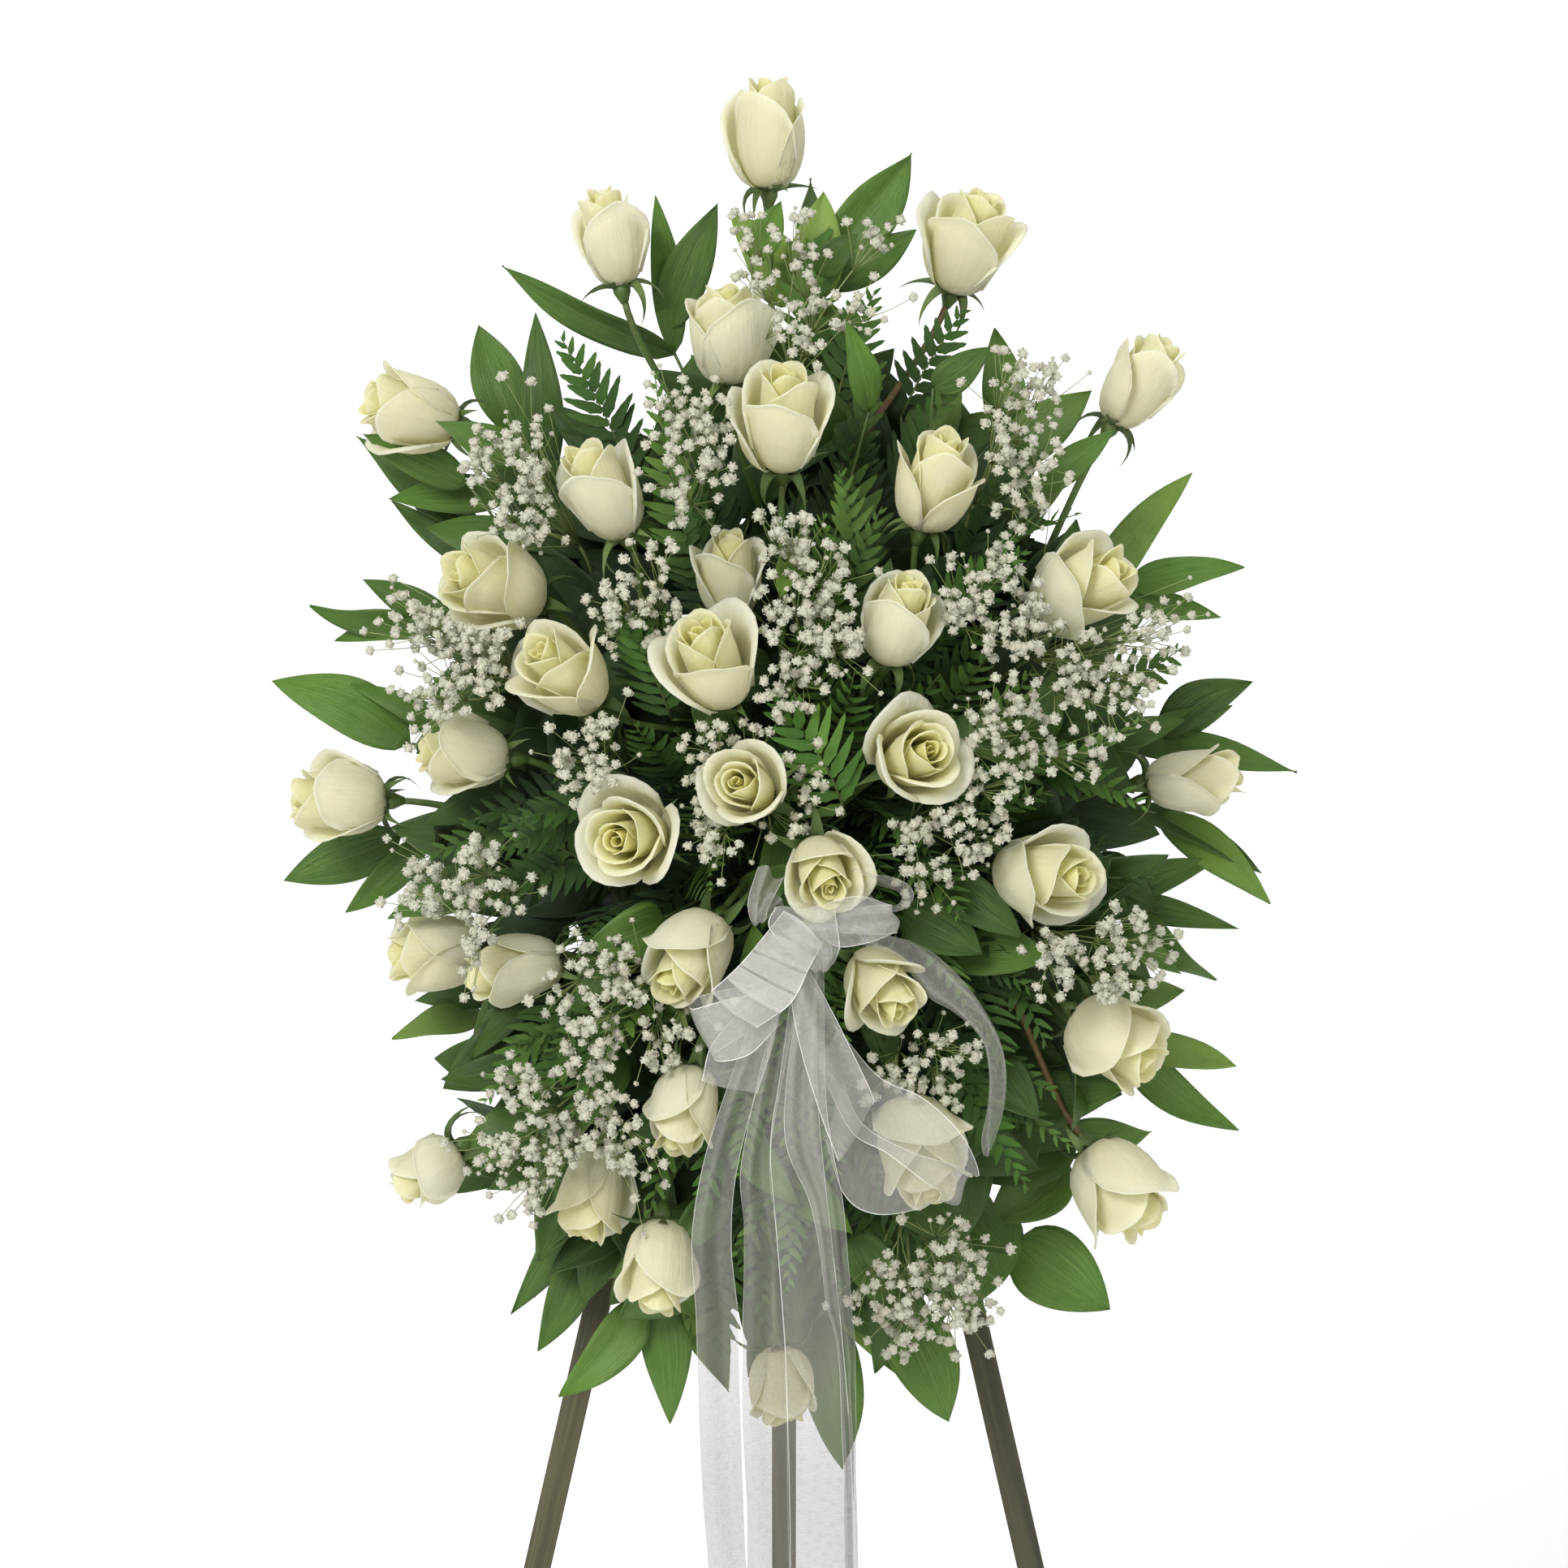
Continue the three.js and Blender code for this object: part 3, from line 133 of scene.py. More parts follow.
# The bunches, each with its own hole in the foam: where it enters and the way out of the foam.
BUNCHES: dict[str, tuple[Numbers, Numbers]] = {
    "top": ((0, 0, 114), (0, 0, 1)),
    "upper_left": ((-54, 0, 50), (-1, 0, 0)),
    "upper_right": ((54, 0, 50), (1, 0, 0)),
    "lower_left": ((-54, 0, -36), (-1, 0, 0)),
    "lower_right": ((54, 0, -36), (1, 0, 0)),
    "bottom": ((0, 0, -114), (0, 0, -1)),
    "front_upper": ((0, -39, 50), (0, -1, 0)),
    "front_lower": ((0, -39, -28), (0, -1, 0)),
}
BUNCH_RADIUS = 11.0
ROOT_OUT = 4.0  # how far outside the foam a stalk leaves its bunch
SUNK_END = 0.3  # the share of its way aside from the bunch's middle that a stalk keeps in the foam

# The roses: bunch, middle of the bloom, the way that it points in the XZ plane in degrees, the share
# of it that faces the viewer, length, width and how far it is open.
ROSES: list[tuple[str, Numbers, float, float, float, float, float]] = [
    ("top", (-9, -50, 406), 90, 0.1, 67, 50, 0.15),
    ("top", (-104, -52, 344), 102, 0.15, 60, 46, 0.5),
    ("top", (111, -60, 340), 70, 0.35, 65, 61, 0.65),
    ("upper_right", (214, -52, 257), 56, 0.1, 61, 44, 0.35),
    ("upper_left", (-224, -55, 239), 166, 0.2, 60, 52, 0.35),
    ("top", (-33, -98, 283), 92, 0.2, 60, 51, 0.3),
    ("front_upper", (0, -160, 230), 88, 0.5, 66, 59, 0.45),
    ("upper_left", (-108, -135, 189), 119, 0.35, 64, 50, 0.4),
    ("upper_right", (89, -140, 195), 73, 0.35, 63, 54, 0.45),
    ("upper_left", (-172, -125, 133), 158, 0.5, 66, 62, 0.6),
    ("front_upper", (-31, -137, 140), 92, 0.42, 56, 43, 0.4),
    ("front_upper", (-42, -195, 87), 112, 0.62, 62, 60, 0.55),
    ("front_upper", (67, -175, 112), 72, 0.5, 57, 48, 0.4),
    ("upper_right", (177, -130, 132), 28, 0.5, 67, 60, 0.5),
    ("front_upper", (-129, -165, 81), 137, 0.62, 61, 62, 0.7),
    ("lower_left", (-190, -105, 33), 176, 0.15, 55, 48, 0.55),
    ("lower_left", (-268, -45, 6), 180, 0.15, 59, 54, 0.4),
    ("front_lower", (-21, -205, 14), 150, 0.93, 55, 51, 0.65),
    ("front_lower", (76, -190, 32), 25, 0.9, 60, 61, 0.75),
    ("front_lower", (-89, -190, -15), 190, 0.93, 60, 63, 0.75),
    ("front_lower", (23, -206, -34), 290, 0.85, 54, 49, 0.6),
    ("lower_right", (246, -50, 20), 6, 0.1, 59, 41, 0.35),
    ("lower_right", (153, -150, -37), 355, 0.65, 66, 65, 0.65),
    ("lower_left", (-209, -55, -86), 184, 0.1, 57, 48, 0.3),
    ("lower_left", (-160, -110, -94), 190, 0.15, 59, 43, 0.3),
    ("front_lower", (-55, -178, -85), 235, 0.5, 60, 53, 0.4),
    ("front_lower", (58, -186, -102), 305, 0.65, 54, 52, 0.65),
    ("lower_right", (197, -105, -136), 325, 0.35, 60, 57, 0.35),
    ("bottom", (-58, -160, -175), 255, 0.2, 54, 43, 0.35),
    ("bottom", (79, -158, -200), 292, 0.45, 70, 64, 0.55),
    ("lower_right", (201, -70, -225), 308, 0.15, 62, 61, 0.4),
    ("lower_left", (-214, -50, -216), 216, 0.1, 46, 42, 0.35),
    ("lower_left", (-113, -100, -227), 258, 0.2, 58, 49, 0.45),
    ("bottom", (-73, -125, -269), 267, 0.15, 57, 47, 0.35),
    ("bottom", (-2, -100, -341), 275, 0.1, 47, 41, 0.2),
]
RED_STEMS = (3, 31)  # the numbers of the roses with a reddish stem

# Leafy sprigs: bunch, where the twig ends, then its leaves as place along the twig, tip x, tip z and
# width.
SPRIGS: list[tuple[str, Numbers, list[Numbers]]] = [
    ("top", (27, -18, 333), [(1, 78, 396, 34), (0.9, 80, 352, 22), (0.96, 14, 380, 24)]),
    ("top", (-72, -14, 290), [(1, -40, 366, 26), (0.9, -78, 372, 18), (0.95, -170, 328, 20)]),
    ("upper_left", (-160, -10, 226),
     [(1, -185, 294, 31), (0.85, -150, 301, 24), (0.6, -176, 200, 18)]),
    ("upper_left", (-186, -2, 170),
     [(1, -257, 228, 24), (0.88, -245, 217, 27), (0.76, -238, 188, 18)]),
    ("upper_left", (-222, -12, 116),
     [(1, -286, 123, 19), (0.93, -272, 103, 16), (0.8, -255, 140, 20)]),
    ("upper_left", (-226, -4, 40), [(1, -311, 79, 32), (0.88, -262, 76, 16)]),
    ("lower_left", (-232, 2, -16),
     [(1, -305, -41, 28), (0.9, -266, -62, 19), (0.72, -225, -45, 20)]),
    ("lower_left", (-180, -8, -124), [(1, -237, -138, 21), (0.85, -224, -117, 18)]),
    ("lower_left", (-158, -4, -206), [(1, -202, -231, 22), (0.8, -186, -150, 20)]),
    ("lower_left", (-118, -2, -258),
     [(1, -150, -327, 24), (0.88, -166, -306, 22), (0.78, -151, -296, 18)]),
    ("bottom", (-84, -12, -294),
     [(1, -136, -354, 28), (0.94, -70, -372, 30), (0.82, -34, -352, 30)]),
    ("bottom", (14, -14, -300), [(1, 39, -398, 42), (0.88, 70, -343, 22)]),
    ("bottom", (68, -8, -300), [(1, 101, -370, 40), (0.85, 104, -341, 26)]),
    ("lower_right", (140, -6, -260), [(1, 197, -302, 43), (0.9, 116, -300, 30)]),
    ("lower_right", (172, -4, -196), [(1, 222, -194, 26), (0.86, 115, -222, 38)]),
    ("lower_right", (212, -10, -140),
     [(1, 274, -154, 20), (0.9, 274, -197, 23), (0.8, 243, -109, 24)]),
    ("lower_right", (204, -8, -58),
     [(1, 260, -104, 26), (0.9, 261, -30, 19), (0.8, 275, -71, 17)]),
    ("upper_right", (226, -2, -2), [(1, 294, -57, 23), (0.9, 289, -38, 17)]),
    ("upper_right", (226, -4, 44),
     [(1, 284, 78, 25), (0.93, 272, 63, 17), (0.86, 311, 26, 20)]),
    ("upper_right", (208, -10, 136),
     [(1, 277, 149, 21), (0.94, 266, 118, 16), (0.88, 247, 205, 23)]),
    ("upper_right", (136, -4, 226),
     [(1, 127, 292, 24), (0.94, 186, 254, 29), (0.84, 91, 267, 28), (0.7, 176, 208, 20)]),
]

# Leaves within the spray: bunch, base, tip, width and tone from dark, 0, to light, 1.
INNER_LEAVES: list[tuple[str, Numbers, Numbers, float, float]] = [
    ("upper_left", (-150, -70, 212), (-205, -92, 232), 26, 0.4),
    ("upper_left", (-190, -40, 196), (-252, -50, 226), 24, 0.3),
    ("top", (-20, -70, 330), (-2, -84, 362), 22, 0.5),
    ("top", (20, -60, 320), (44, -70, 344), 20, 0.1),
    ("upper_right", (88, -110, 250), (122, -120, 274), 22, 0.1),
    ("front_upper", (50, -120, 236), (38, -150, 286), 20, 0.2),
    ("upper_right", (150, -90, 190), (196, -96, 226), 20, 0.3),
    ("front_lower", (-70, -150, -62), (-116, -168, -78), 34, 0.6),
    ("front_lower", (70, -140, -58), (116, -150, -84), 36, 0.0),
    ("front_lower", (96, -130, -40), (140, -146, -74), 30, 0.0),
    ("lower_right", (120, -100, -150), (150, -116, -182), 34, 0.1),
    ("bottom", (-34, -110, -226), (-70, -122, -262), 26, 0.3),
    ("bottom", (40, -120, -250), (64, -128, -296), 30, 0.2),
    ("lower_left", (-186, -70, -50), (-236, -78, -64), 22, 0.3),
    ("lower_right", (200, -70, -70), (236, -84, -96), 20, 0.3),
    ("lower_left", (-150, -60, -150), (-204, -72, -160), 22, 0.3),
    ("upper_right", (196, -60, 40), (238, -74, 54), 18, 0.3),
    ("front_upper", (-70, -110, 150), (-96, -132, 172), 18, 0.2),
    ("lower_left", (-60, -120, -170), (-92, -132, -196), 22, 0.2),
    ("upper_left", (-150, -60, 20), (-214, -76, -8), 26, 0.3),
    ("lower_left", (-128, -50, -56), (-184, -56, -80), 30, 0.2),
    ("lower_left", (-168, -36, -12), (-236, -44, -10), 34, 0.35),
    ("lower_right", (172, -20, -184), (114, -30, -222), 46, 0.6),
    ("lower_right", (170, -16, -208), (124, -26, -248), 40, 0.6),
    ("upper_left", (-166, -20, 190), (-238, -26, 188), 24, 0.35),
    ("lower_left", (-150, -40, -180), (-196, -48, -214), 30, 0.3),
    ("upper_left", (-20, -30, 176), (-36, -40, 218), 30, 0.1),
    ("upper_left", (-150, -30, 146), (-214, -40, 170), 32, 0.3),
    ("upper_left", (-126, -36, 184), (-182, -46, 208), 30, 0.2),
    ("upper_left", (-48, -40, 126), (-98, -50, 146), 30, 0.1),
    ("upper_left", (-146, -40, 80), (-200, -50, 98), 28, 0.2),
    ("top", (-104, -30, 206), (-142, -36, 244), 26, 0.2),
    ("top", (58, -36, 216), (100, -46, 250), 28, 0.1),
    ("upper_right", (106, -36, 182), (154, -46, 212), 34, 0.1),
    ("upper_right", (166, -30, 100), (218, -40, 120), 26, 0.2),
    ("upper_right", (146, -30, 56), (200, -36, 76), 30, 0.2),
    ("top", (8, -34, 304), (-32, -42, 358), 34, 0.8),
    ("top", (14, -30, 306), (24, -38, 372), 36, 0.8),
    ("top", (40, -34, 256), (16, -40, 314), 38, 0.6),
    ("top", (10, -30, 236), (-14, -36, 292), 34, 0.4),
    ("top", (66, -36, 222), (34, -44, 276), 32, 0.0),
    ("upper_right", (78, -46, 212), (106, -56, 262), 32, 0.6),
]

# Fern fronds: bunch, the root of the blade, its tip and its greatest width.
FRONDS: list[tuple[str, Numbers, Numbers, float]] = [
    ("upper_left", (-84, -56, 176), (-138, -66, 282), 50),
    ("top", (14, -46, 262), (24, -40, 366), 46),
    ("upper_right", (70, -60, 236), (108, -70, 300), 40),
    ("top", (30, -56, 238), (54, -66, 312), 44),
    ("front_upper", (46, -92, 136), (36, -112, 214), 44),
    ("front_upper", (-66, -140, 54), (-98, -176, 114), 48),
    ("front_lower", (36, -156, -2), (-6, -190, 62), 58),
    ("lower_left", (-108, -110, -36), (-168, -118, -10), 46),
    ("lower_left", (-92, -60, -112), (-164, -60, -150), 46),
    ("front_lower", (-78, -90, -60), (-124, -140, -72), 36),
    ("upper_right", (104, -66, 112), (136, -100, 168), 40),
    ("upper_right", (176, -36, 74), (240, -40, 98), 36),
    ("lower_right", (118, -56, -44), (196, -60, -18), 40),
    ("lower_right", (100, -66, -140), (150, -84, -180), 42),
    ("bottom", (-26, -60, -246), (-36, -66, -330), 40),
]

# Baby's breath: for each bunch where its stem enters the foam, the way out, and its clouds as x, z,
# half width, half height and number of florets.
BREATH: dict[str, tuple[Numbers, Numbers, list[Numbers]]] = {
    "top": ((-24, -20, 114), (0, 0, 1), [(7, 314, 53, 50, 52), (-56, 216, 25, 36, 48)]),
    "upper_left": ((-54, -26, 50), (-1, 0, 0),
                   [(-152, 192, 26, 50, 62), (-195, 96, 30, 50, 90), (-84, 122, 25, 26, 30)]),
    "upper_right": ((54, -26, 50), (1, 0, 0),
                    [(141, 223, 21, 52, 52), (115, 125, 18, 30, 32), (182, 110, 45, 70, 120),
                     (139, 44, 42, 27, 42)]),
    "centre": ((0, -39, 11), (0, -1, 0),
               [(14, 115, 28, 60, 88), (-24, 12, 42, 36, 48), (-114, 24, 20, 26, 26),
                (93, -8, 40, 42, 56)]),
    "lower_left": ((-54, -26, -36), (-1, 0, 0),
                   [(-192, -55, 37, 37, 54), (-87, -110, 47, 37, 60), (-132, -190, 49, 51, 108)]),
    "lower_right": ((54, -26, -36), (1, 0, 0),
                    [(184, -84, 49, 28, 48), (84, -150, 30, 20, 28), (88, -283, 49, 30, 76)]),
}
CLOUD_ROOT = (0.8, 0.5, 0.82)  # where a cloud's stem ends, as shares of its place
# The spray's face: half its width and height, the depth of its rim and its rise in the middle
DOME = (300.0, 400.0, 50.0, 160.0)
RIM = (226.0, 322.0, -30.0)  # the filling leaves' room: half its width and height, its middle

RIBBON_WIDTH = 38.0
KNOT = (10.0, -216.0, -74.0)
KNOT_SIZE = (13.8, 8.8, 11.0)

# The ribbon's pieces: name, how each is held, lengthwise waves in its section, crosswise pleats, then
# stations from the knot outwards: one edge as x and z, the other as x and z, the depth of the middle,
# and how much deeper the second edge lies than the first.
STRIPS: list[tuple[str, Hold, float, int, list[Numbers]]] = [
    ("bow_loop_rear", Hold.GATHERED, 1.0, 0,
     [(-15, -32, 0, -38, -199, 2), (-21, -51, -9, -56, -208, 3), (-20, -61, -10, -62, -211, 2),
      (-17, -65.5, -13, -65.5, -206, 0), (-18, -57, -6, -58, -197, 0), (-9, -42, 0, -54, -194, 0)]),
    ("bow_lobe", Hold.GATHERED, 1.5, 0,
     [(-5, -55, 29, -55, -221, 2), (-9, -65, 32, -76, -230, 2), (0, -77, 31.5, -80, -234, 0),
      (11, -86, 28.5, -87.5, -230, 0), (18, -92, 24, -92, -223, 0), (11, -82, 28, -82, -213, 0),
      (-3, -67, 23, -67, -210, 0)]),
    ("bow_loop_right", Hold.GATHERED, 1.2, 0,
     [(16, -56, 21, -72, -219, 0), (37, -49, 32, -78, -228, 2), (49, -49.5, 50, -75, -231, 2),
      (59, -53, 63, -70, -227, 0), (62, -54, 65, -70, -219, 0), (53, -54, 55, -71, -211, 0),
      (32, -58, 32, -70, -209, 0)]),
    ("bow_ring", Hold.GATHERED, 0, 0,
     [(37, -31, 39, -35, -212, 26), (50, -36, 51, -41, -212, 28), (63, -38.5, 62, -44, -212, 30),
      (73, -43.5, 68, -47.5, -212, 30), (74.5, -51, 67.5, -52, -212, 30),
      (66, -58, 63, -54.5, -212, 30), (55, -56, 56, -52.5, -212, 28),
      (46, -48.5, 48, -46, -212, 26)]),
    ("bow_fold", Hold.GATHERED, 0.5, 4,
     [(0, -57, 22, -76, -224, 0), (-16, -77, 14.5, -90, -232, 0), (-28.5, -91, 4, -110, -234, 0),
      (-42, -103, -16, -125, -229, 0)]),
    ("bow_loop_left", Hold.GATHERED, 0.8, 0,
     [(-5, -103, -2.5, -123, -214, 0), (-35, -109, -19, -139.5, -222, 0),
      (-53, -114, -35.5, -144, -219, 0), (-54.5, -110.5, -40, -140, -209, 0),
      (-44, -105.5, -22, -128.5, -200, 0), (-5, -98, 0, -110.5, -203, 0)]),
    ("bow_end_short", Hold.HUNG, 0.7, 0,
     [(-14, -104, 0, -104, -208, 0), (-28, -118, -3, -118, -208, 0),
      (-42.5, -136, -6.5, -135, -208, 2), (-47.5, -156, -15.5, -163, -206, 2)]),
    ("bow_end_wide", Hold.HUNG, 0.8, 0,
     [(4, -97, 15, -92, -222, 0), (5, -116, 29.5, -118, -227, 2), (11.5, -144, 42.5, -145, -229, 3),
      (22, -177.5, 51.5, -164.5, -225, 3), (31, -201.5, 51, -170, -219, 2)]),
    ("bow_end_curved", Hold.HUNG, 1.0, 0,
     [(40, -66, 42, -76, -216, 2), (56, -70, 56, -80, -208, 2), (78, -77, 68, -87, -197, 3),
      (94, -88.5, 83.5, -107, -194, 4), (110.5, -106.5, 98, -116, -198, 4),
      (123.5, -128.5, 113, -130, -202, 3), (128, -148, 119, -148, -204, 3),
      (128, -167, 118, -170, -204, 2), (124.5, -182.5, 114.5, -190, -202, 1),
      (119.5, -196, 116, -199.5, -200, 0)]),
    ("bow_sheer_right", Hold.GATHERED, 1.0, 0,
     [(30, -124, 20, -146, -206, 0), (55, -153, 38, -184, -213, 0), (80, -165, 59, -197, -218, 0),
      (103, -187, 80, -213, -216, 0), (113, -211, 91, -222, -208, 0),
      (100, -205, 78, -230, -206, 0), (72, -196, 53, -233, -208, 0), (45, -180, 35, -222, -207, 0),
      (34, -156, 24, -190, -205, 0)]),
    ("tail_left", Hold.HUNG, 1.0, 0,
     [(-4, -84, 8, -84, -214, 0), (-26, -140, -8, -136, -208, 0), (-46, -201, -26, -201, -204, 2),
      (-53.5, -247, -30.5, -249, -197, 3), (-51, -296, -27, -290, -189, -2),
      (-50, -347, -25.5, -339, -180, -4), (-47.5, -403, -23.5, -403, -169, 2),
      (-44.5, -447, -21.5, -447, -160, 4), (-41, -540, -17, -540, -141, -3),
      (-38, -625, -14, -623, -123, -2)]),
    ("tail_middle", Hold.HUNG, 1.0, 0,
     [(2, -84, 13, -84, -215, 0), (-14, -150, 0, -150, -212, 0), (-25, -206, -8, -202, -207, 2),
      (-23, -241, -4, -248, -201, -2), (-23.5, -276, -1, -281, -194, -3),
      (-24.5, -309, 1, -312, -188, 2), (-24.5, -355, 2, -355, -180, 3),
      (-22, -403, 2.5, -403, -170, -2), (-21.5, -447, 3.5, -447, -161, -3),
      (-19, -540, 6, -540, -142, 3), (-17, -624, 8, -625, -124, 2)]),
    ("tail_right", Hold.HUNG, 0.8, 0,
     [(7, -84, 19, -84, -214, 0), (-2, -150, 19, -150, -213, 0), (-8, -195, 22, -195, -209, 2),
      (-4, -250, 28, -250, -201, 3), (0, -306, 34, -306, -191, -2), (2, -355, 38, -355, -181, -3),
      (3, -403, 40, -403, -171, 2), (3.5, -447, 41, -447, -162, 3), (5, -540, 42, -540, -143, -3),
      (7, -624, 44, -625, -125, -2)]),
    ("tail_curled", Hold.HUNG, 2.0, 0,
     [(12, -84, 23, -86, -218, 0), (2, -150, 24, -158, -216, 0), (1, -192, 27.5, -192, -213, 2),
      (14.5, -225, 34, -225, -207, 3), (21, -257, 37.5, -263, -200, 2),
      (24.5, -286, 39.5, -290, -195, 0), (31, -312, 41.5, -314, -190, 2),
      (34, -371, 42, -371, -179, 3), (35.5, -447, 43.5, -447, -164, 0),
      (36, -540, 45, -540, -145, 2), (37, -610, 46, -612, -131, 0)]),
]


# Helpers for points


def lerp(a: float | Array, b: float | Array, share: float | Array) -> float | Array:
    """Gives the value at a share of the way from a to b."""
    return a + (b - a) * share


def smoothstep(value: float | Array) -> float | Array:
    """Eases a value from 0 to 1 at both ends."""
    value = np.clip(value, 0, 1)
    return value * value * (3 - 2 * value)


def unit(vector: Array) -> Array:
    """Gives the vector, or each row of vectors, at length 1."""
    return vector / np.maximum(np.linalg.norm(vector, axis=-1, keepdims=True), 1e-9)


def point(values: Numbers) -> Array:
    """Gives a point of a table as an array."""
    return np.array(values, float)


def draw(number: float) -> float:
    """Gives an even draw from 0 to 1 for a number, the same as in the solids."""
    value = math.sin(number * 127.1 + 11.7) * 43758.5453
    return value - math.floor(value)


def draws_of(seed: Seed, number: int) -> np.random.Generator:
    """Gives the random draws of one part of a kind."""
    return np.random.default_rng(seed + number)


def basis(along: Array, facing: Array) -> tuple[Array, Array, Array]:
    """Gives the directions across, along and out of a blade.

    Args:
        along: The way that the blade runs.
        facing: Roughly the way that its face looks.

    Returns:
        Three unit vectors, at right angles to each other.
    """
    along = unit(along)
    side = unit(np.cross(along, facing))
    return side, along, np.cross(side, along)


def bezier(points: Sequence[Array], t: Array) -> Array:
    """Gives points on a cubic Bezier curve.

    Args:
        points: Its four control points.
        t: Places on it, from 0 to 1.

    Returns:
        One row for each place.
    """
    t = np.asarray(t, float)[..., None]
    a, b, c, d = points
    return (1 - t) ** 3 * a + 3 * (1 - t) ** 2 * t * b + 3 * (1 - t) * t * t * c + t ** 3 * d


def smooth_rows(rows: Array, count: int) -> Array:
    """Runs a Catmull-Rom curve through rows of numbers.

    Args:
        rows: The rows that the curve passes.
        count: The number of rows to give back.

    Returns:
        Rows at even steps of the curve.
    """
    padded = np.vstack([2 * rows[0] - rows[1], rows, 2 * rows[-1] - rows[-2]])
    place = np.linspace(0, len(rows) - 1 - 1e-6, count)
    first = place.astype(int)
    t = (place - first)[:, None]
    a, b, c, d = (padded[first + k] for k in range(4))
    return 0.5 * (2 * b + (c - a) * t + (2 * a - 5 * b + 4 * c - d) * t * t
                  + (3 * b - a - 3 * c + d) * t ** 3)


def hole_of(bunch: str) -> tuple[Array, Array]:
    """Gives where a bunch enters the foam, and the way out of it."""
    at, out = BUNCHES[bunch]
    return point(at), point(out)


def dome_depth(x: float, z: float) -> float:
    """Gives the depth of the spray's face.

    Args:
        x: The place across the spray.
        z: The place up the spray.

    Returns:
        How far back the face lies there, below 0 towards the viewer.
    """
    half_width, half_height, rim, rise = DOME
    r = min(1.0, math.hypot(x / half_width, z / half_height))
    return -rim - rise * math.sqrt(1 - r * r)


def painted_shade_depth(points: Array) -> Array:
    """Gives how far behind the spray's face points lie, as the share of painted shade that the leaves
    and ferns get.

    Args:
        points: The points.

    Returns:
        A number for each point, 0 at the face and 1 deep within.
    """
    half_width, half_height, rim, rise = DOME
    r = np.hypot(points[:, 0] / half_width, points[:, 2] / half_height)
    face = -rim - rise * np.sqrt(np.maximum(0, 1 - r * r))
    inside = smoothstep((1.0 - r) / 0.5)
    return np.clip((points[:, 1] - face - 26) / 74, 0, 1) * inside


def root_for(at: Array, out: Array, goal: Array) -> Array:
    """Gives the point where a stalk leaves its bunch.

    Args:
        at: The place of the bunch's hole.
        out: The way out of the foam.
        goal: Where the stalk goes.

    Returns:
        A point just outside the foam, on the side of the bunch that faces the goal.
    """
    sideways = goal - at
    sideways = unit(sideways - out * sideways.dot(out))
    return at + out * ROOT_OUT + sideways * 0.6 * BUNCH_RADIUS


def sunk_end(at: Array, out: Array, start: Array, depth: float) -> Array:
    """Gives the end of a stalk within the foam, from where it leaves its bunch."""
    return at - out * depth + (start - at - out * ROOT_OUT) * SUNK_END


def reach(start: Array, leaving: Array, end: Array, arriving: Array, steps: int) -> Array:
    """Gives points on a smooth way from start to end.

    Args:
        start: Its first point.
        leaving: The way that it sets out.
        end: Its last point.
        arriving: The way that it comes in.
        steps: How many points it has.

    Returns:
        Its points.
    """
    away = np.linalg.norm(end - start)
    controls = [start, start + leaving * 0.35 * away, end - arriving * 0.3 * away, end]
    return bezier(controls, np.linspace(0, 1, steps))


@dataclass(frozen=True)
class MiddleLine:
    """The middle line of a leaf or a frond, which arches, hangs at its tip and sways to a side."""

    base: Array
    tip: Array
    facing: Array
    arch: float
    hang: float
    sway: float

    @property
    def length(self) -> float:
        """Gives how far its ends are apart."""
        return float(np.linalg.norm(self.tip - self.base))

    @property
    def ways(self) -> tuple[Array, Array, Array]:
        """Gives the directions across, along and out of the blade."""
        return basis(self.tip - self.base, self.facing)

    def at(self, place: Array) -> Array:
        """Gives points on the line.

        Args:
            place: Shares of its length, from 0 to 1.

        Returns:
            One row for each share.
        """
        side, ahead, up = self.ways
        bend = np.sin(math.pi * place)
        return (self.base + np.outer(place * self.length, ahead)
                + np.outer(self.length * (self.arch * bend - self.hang * place ** 3), up)
                + np.outer(self.length * self.sway * bend, side))


class Head:
    """The spray's frame, which leans back with the easel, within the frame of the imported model."""

    low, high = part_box("foam")
    origin = np.array((low + high) / 2)
    turn = np.array(Matrix.Rotation(-LEAN, 3, "X"))

    @classmethod
    def to_world(cls, points: Array) -> Array:
        """Turns points in millimetres in the spray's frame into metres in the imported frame."""
        return np.asarray(points, float) @ cls.turn.T * MM + cls.origin


# Helpers for meshes


@dataclass(frozen=True)
class Grid:
    """A flat net of quads, with u from -1 to 1 across it and v from 0 to 1 along it."""

    u: Array
    v: Array
    faces: Array


def taken() -> tuple[Array, Array]:
    """Takes the shape of the newest primitive, and removes it.

    Returns:
        Its points and the corners of its faces.
    """
    made = bpy.context.object
    mesh = made.data
    co = np.array([v.co for v in mesh.vertices])
    faces = np.array([p.vertices for p in mesh.polygons])
    bpy.data.objects.remove(made)
    bpy.data.meshes.remove(mesh)
    return co, faces


@lru_cache(maxsize=None)
def flat_grid(columns: int, rows: int) -> Grid:
    """Makes a net with the grid primitive.

    Args:
        columns: Quads across.
        rows: Quads along.

    Returns:
        The net.
    """
    bpy.ops.object.select_all(action="DESELECT")
    bpy.ops.mesh.primitive_grid_add(x_subdivisions=columns, y_subdivisions=rows, size=2)
    co, faces = taken()
    return Grid(co[:, 0], (co[:, 1] + 1) / 2, faces)


@lru_cache(maxsize=None)
def ball() -> tuple[Array, Array]:
    """Makes a coarse ball of radius 1 with the sphere primitive.

    Returns:
        Its points and the corners of its faces.
    """
    bpy.ops.object.select_all(action="DESELECT")
    bpy.ops.mesh.primitive_ico_sphere_add(subdivisions=1, radius=1)
    return taken()


def pattern(u: Array, v: Array) -> Array:
    """Gives places on a flat pattern for points of a net."""
    return np.column_stack([(u + 1) / 2, v])


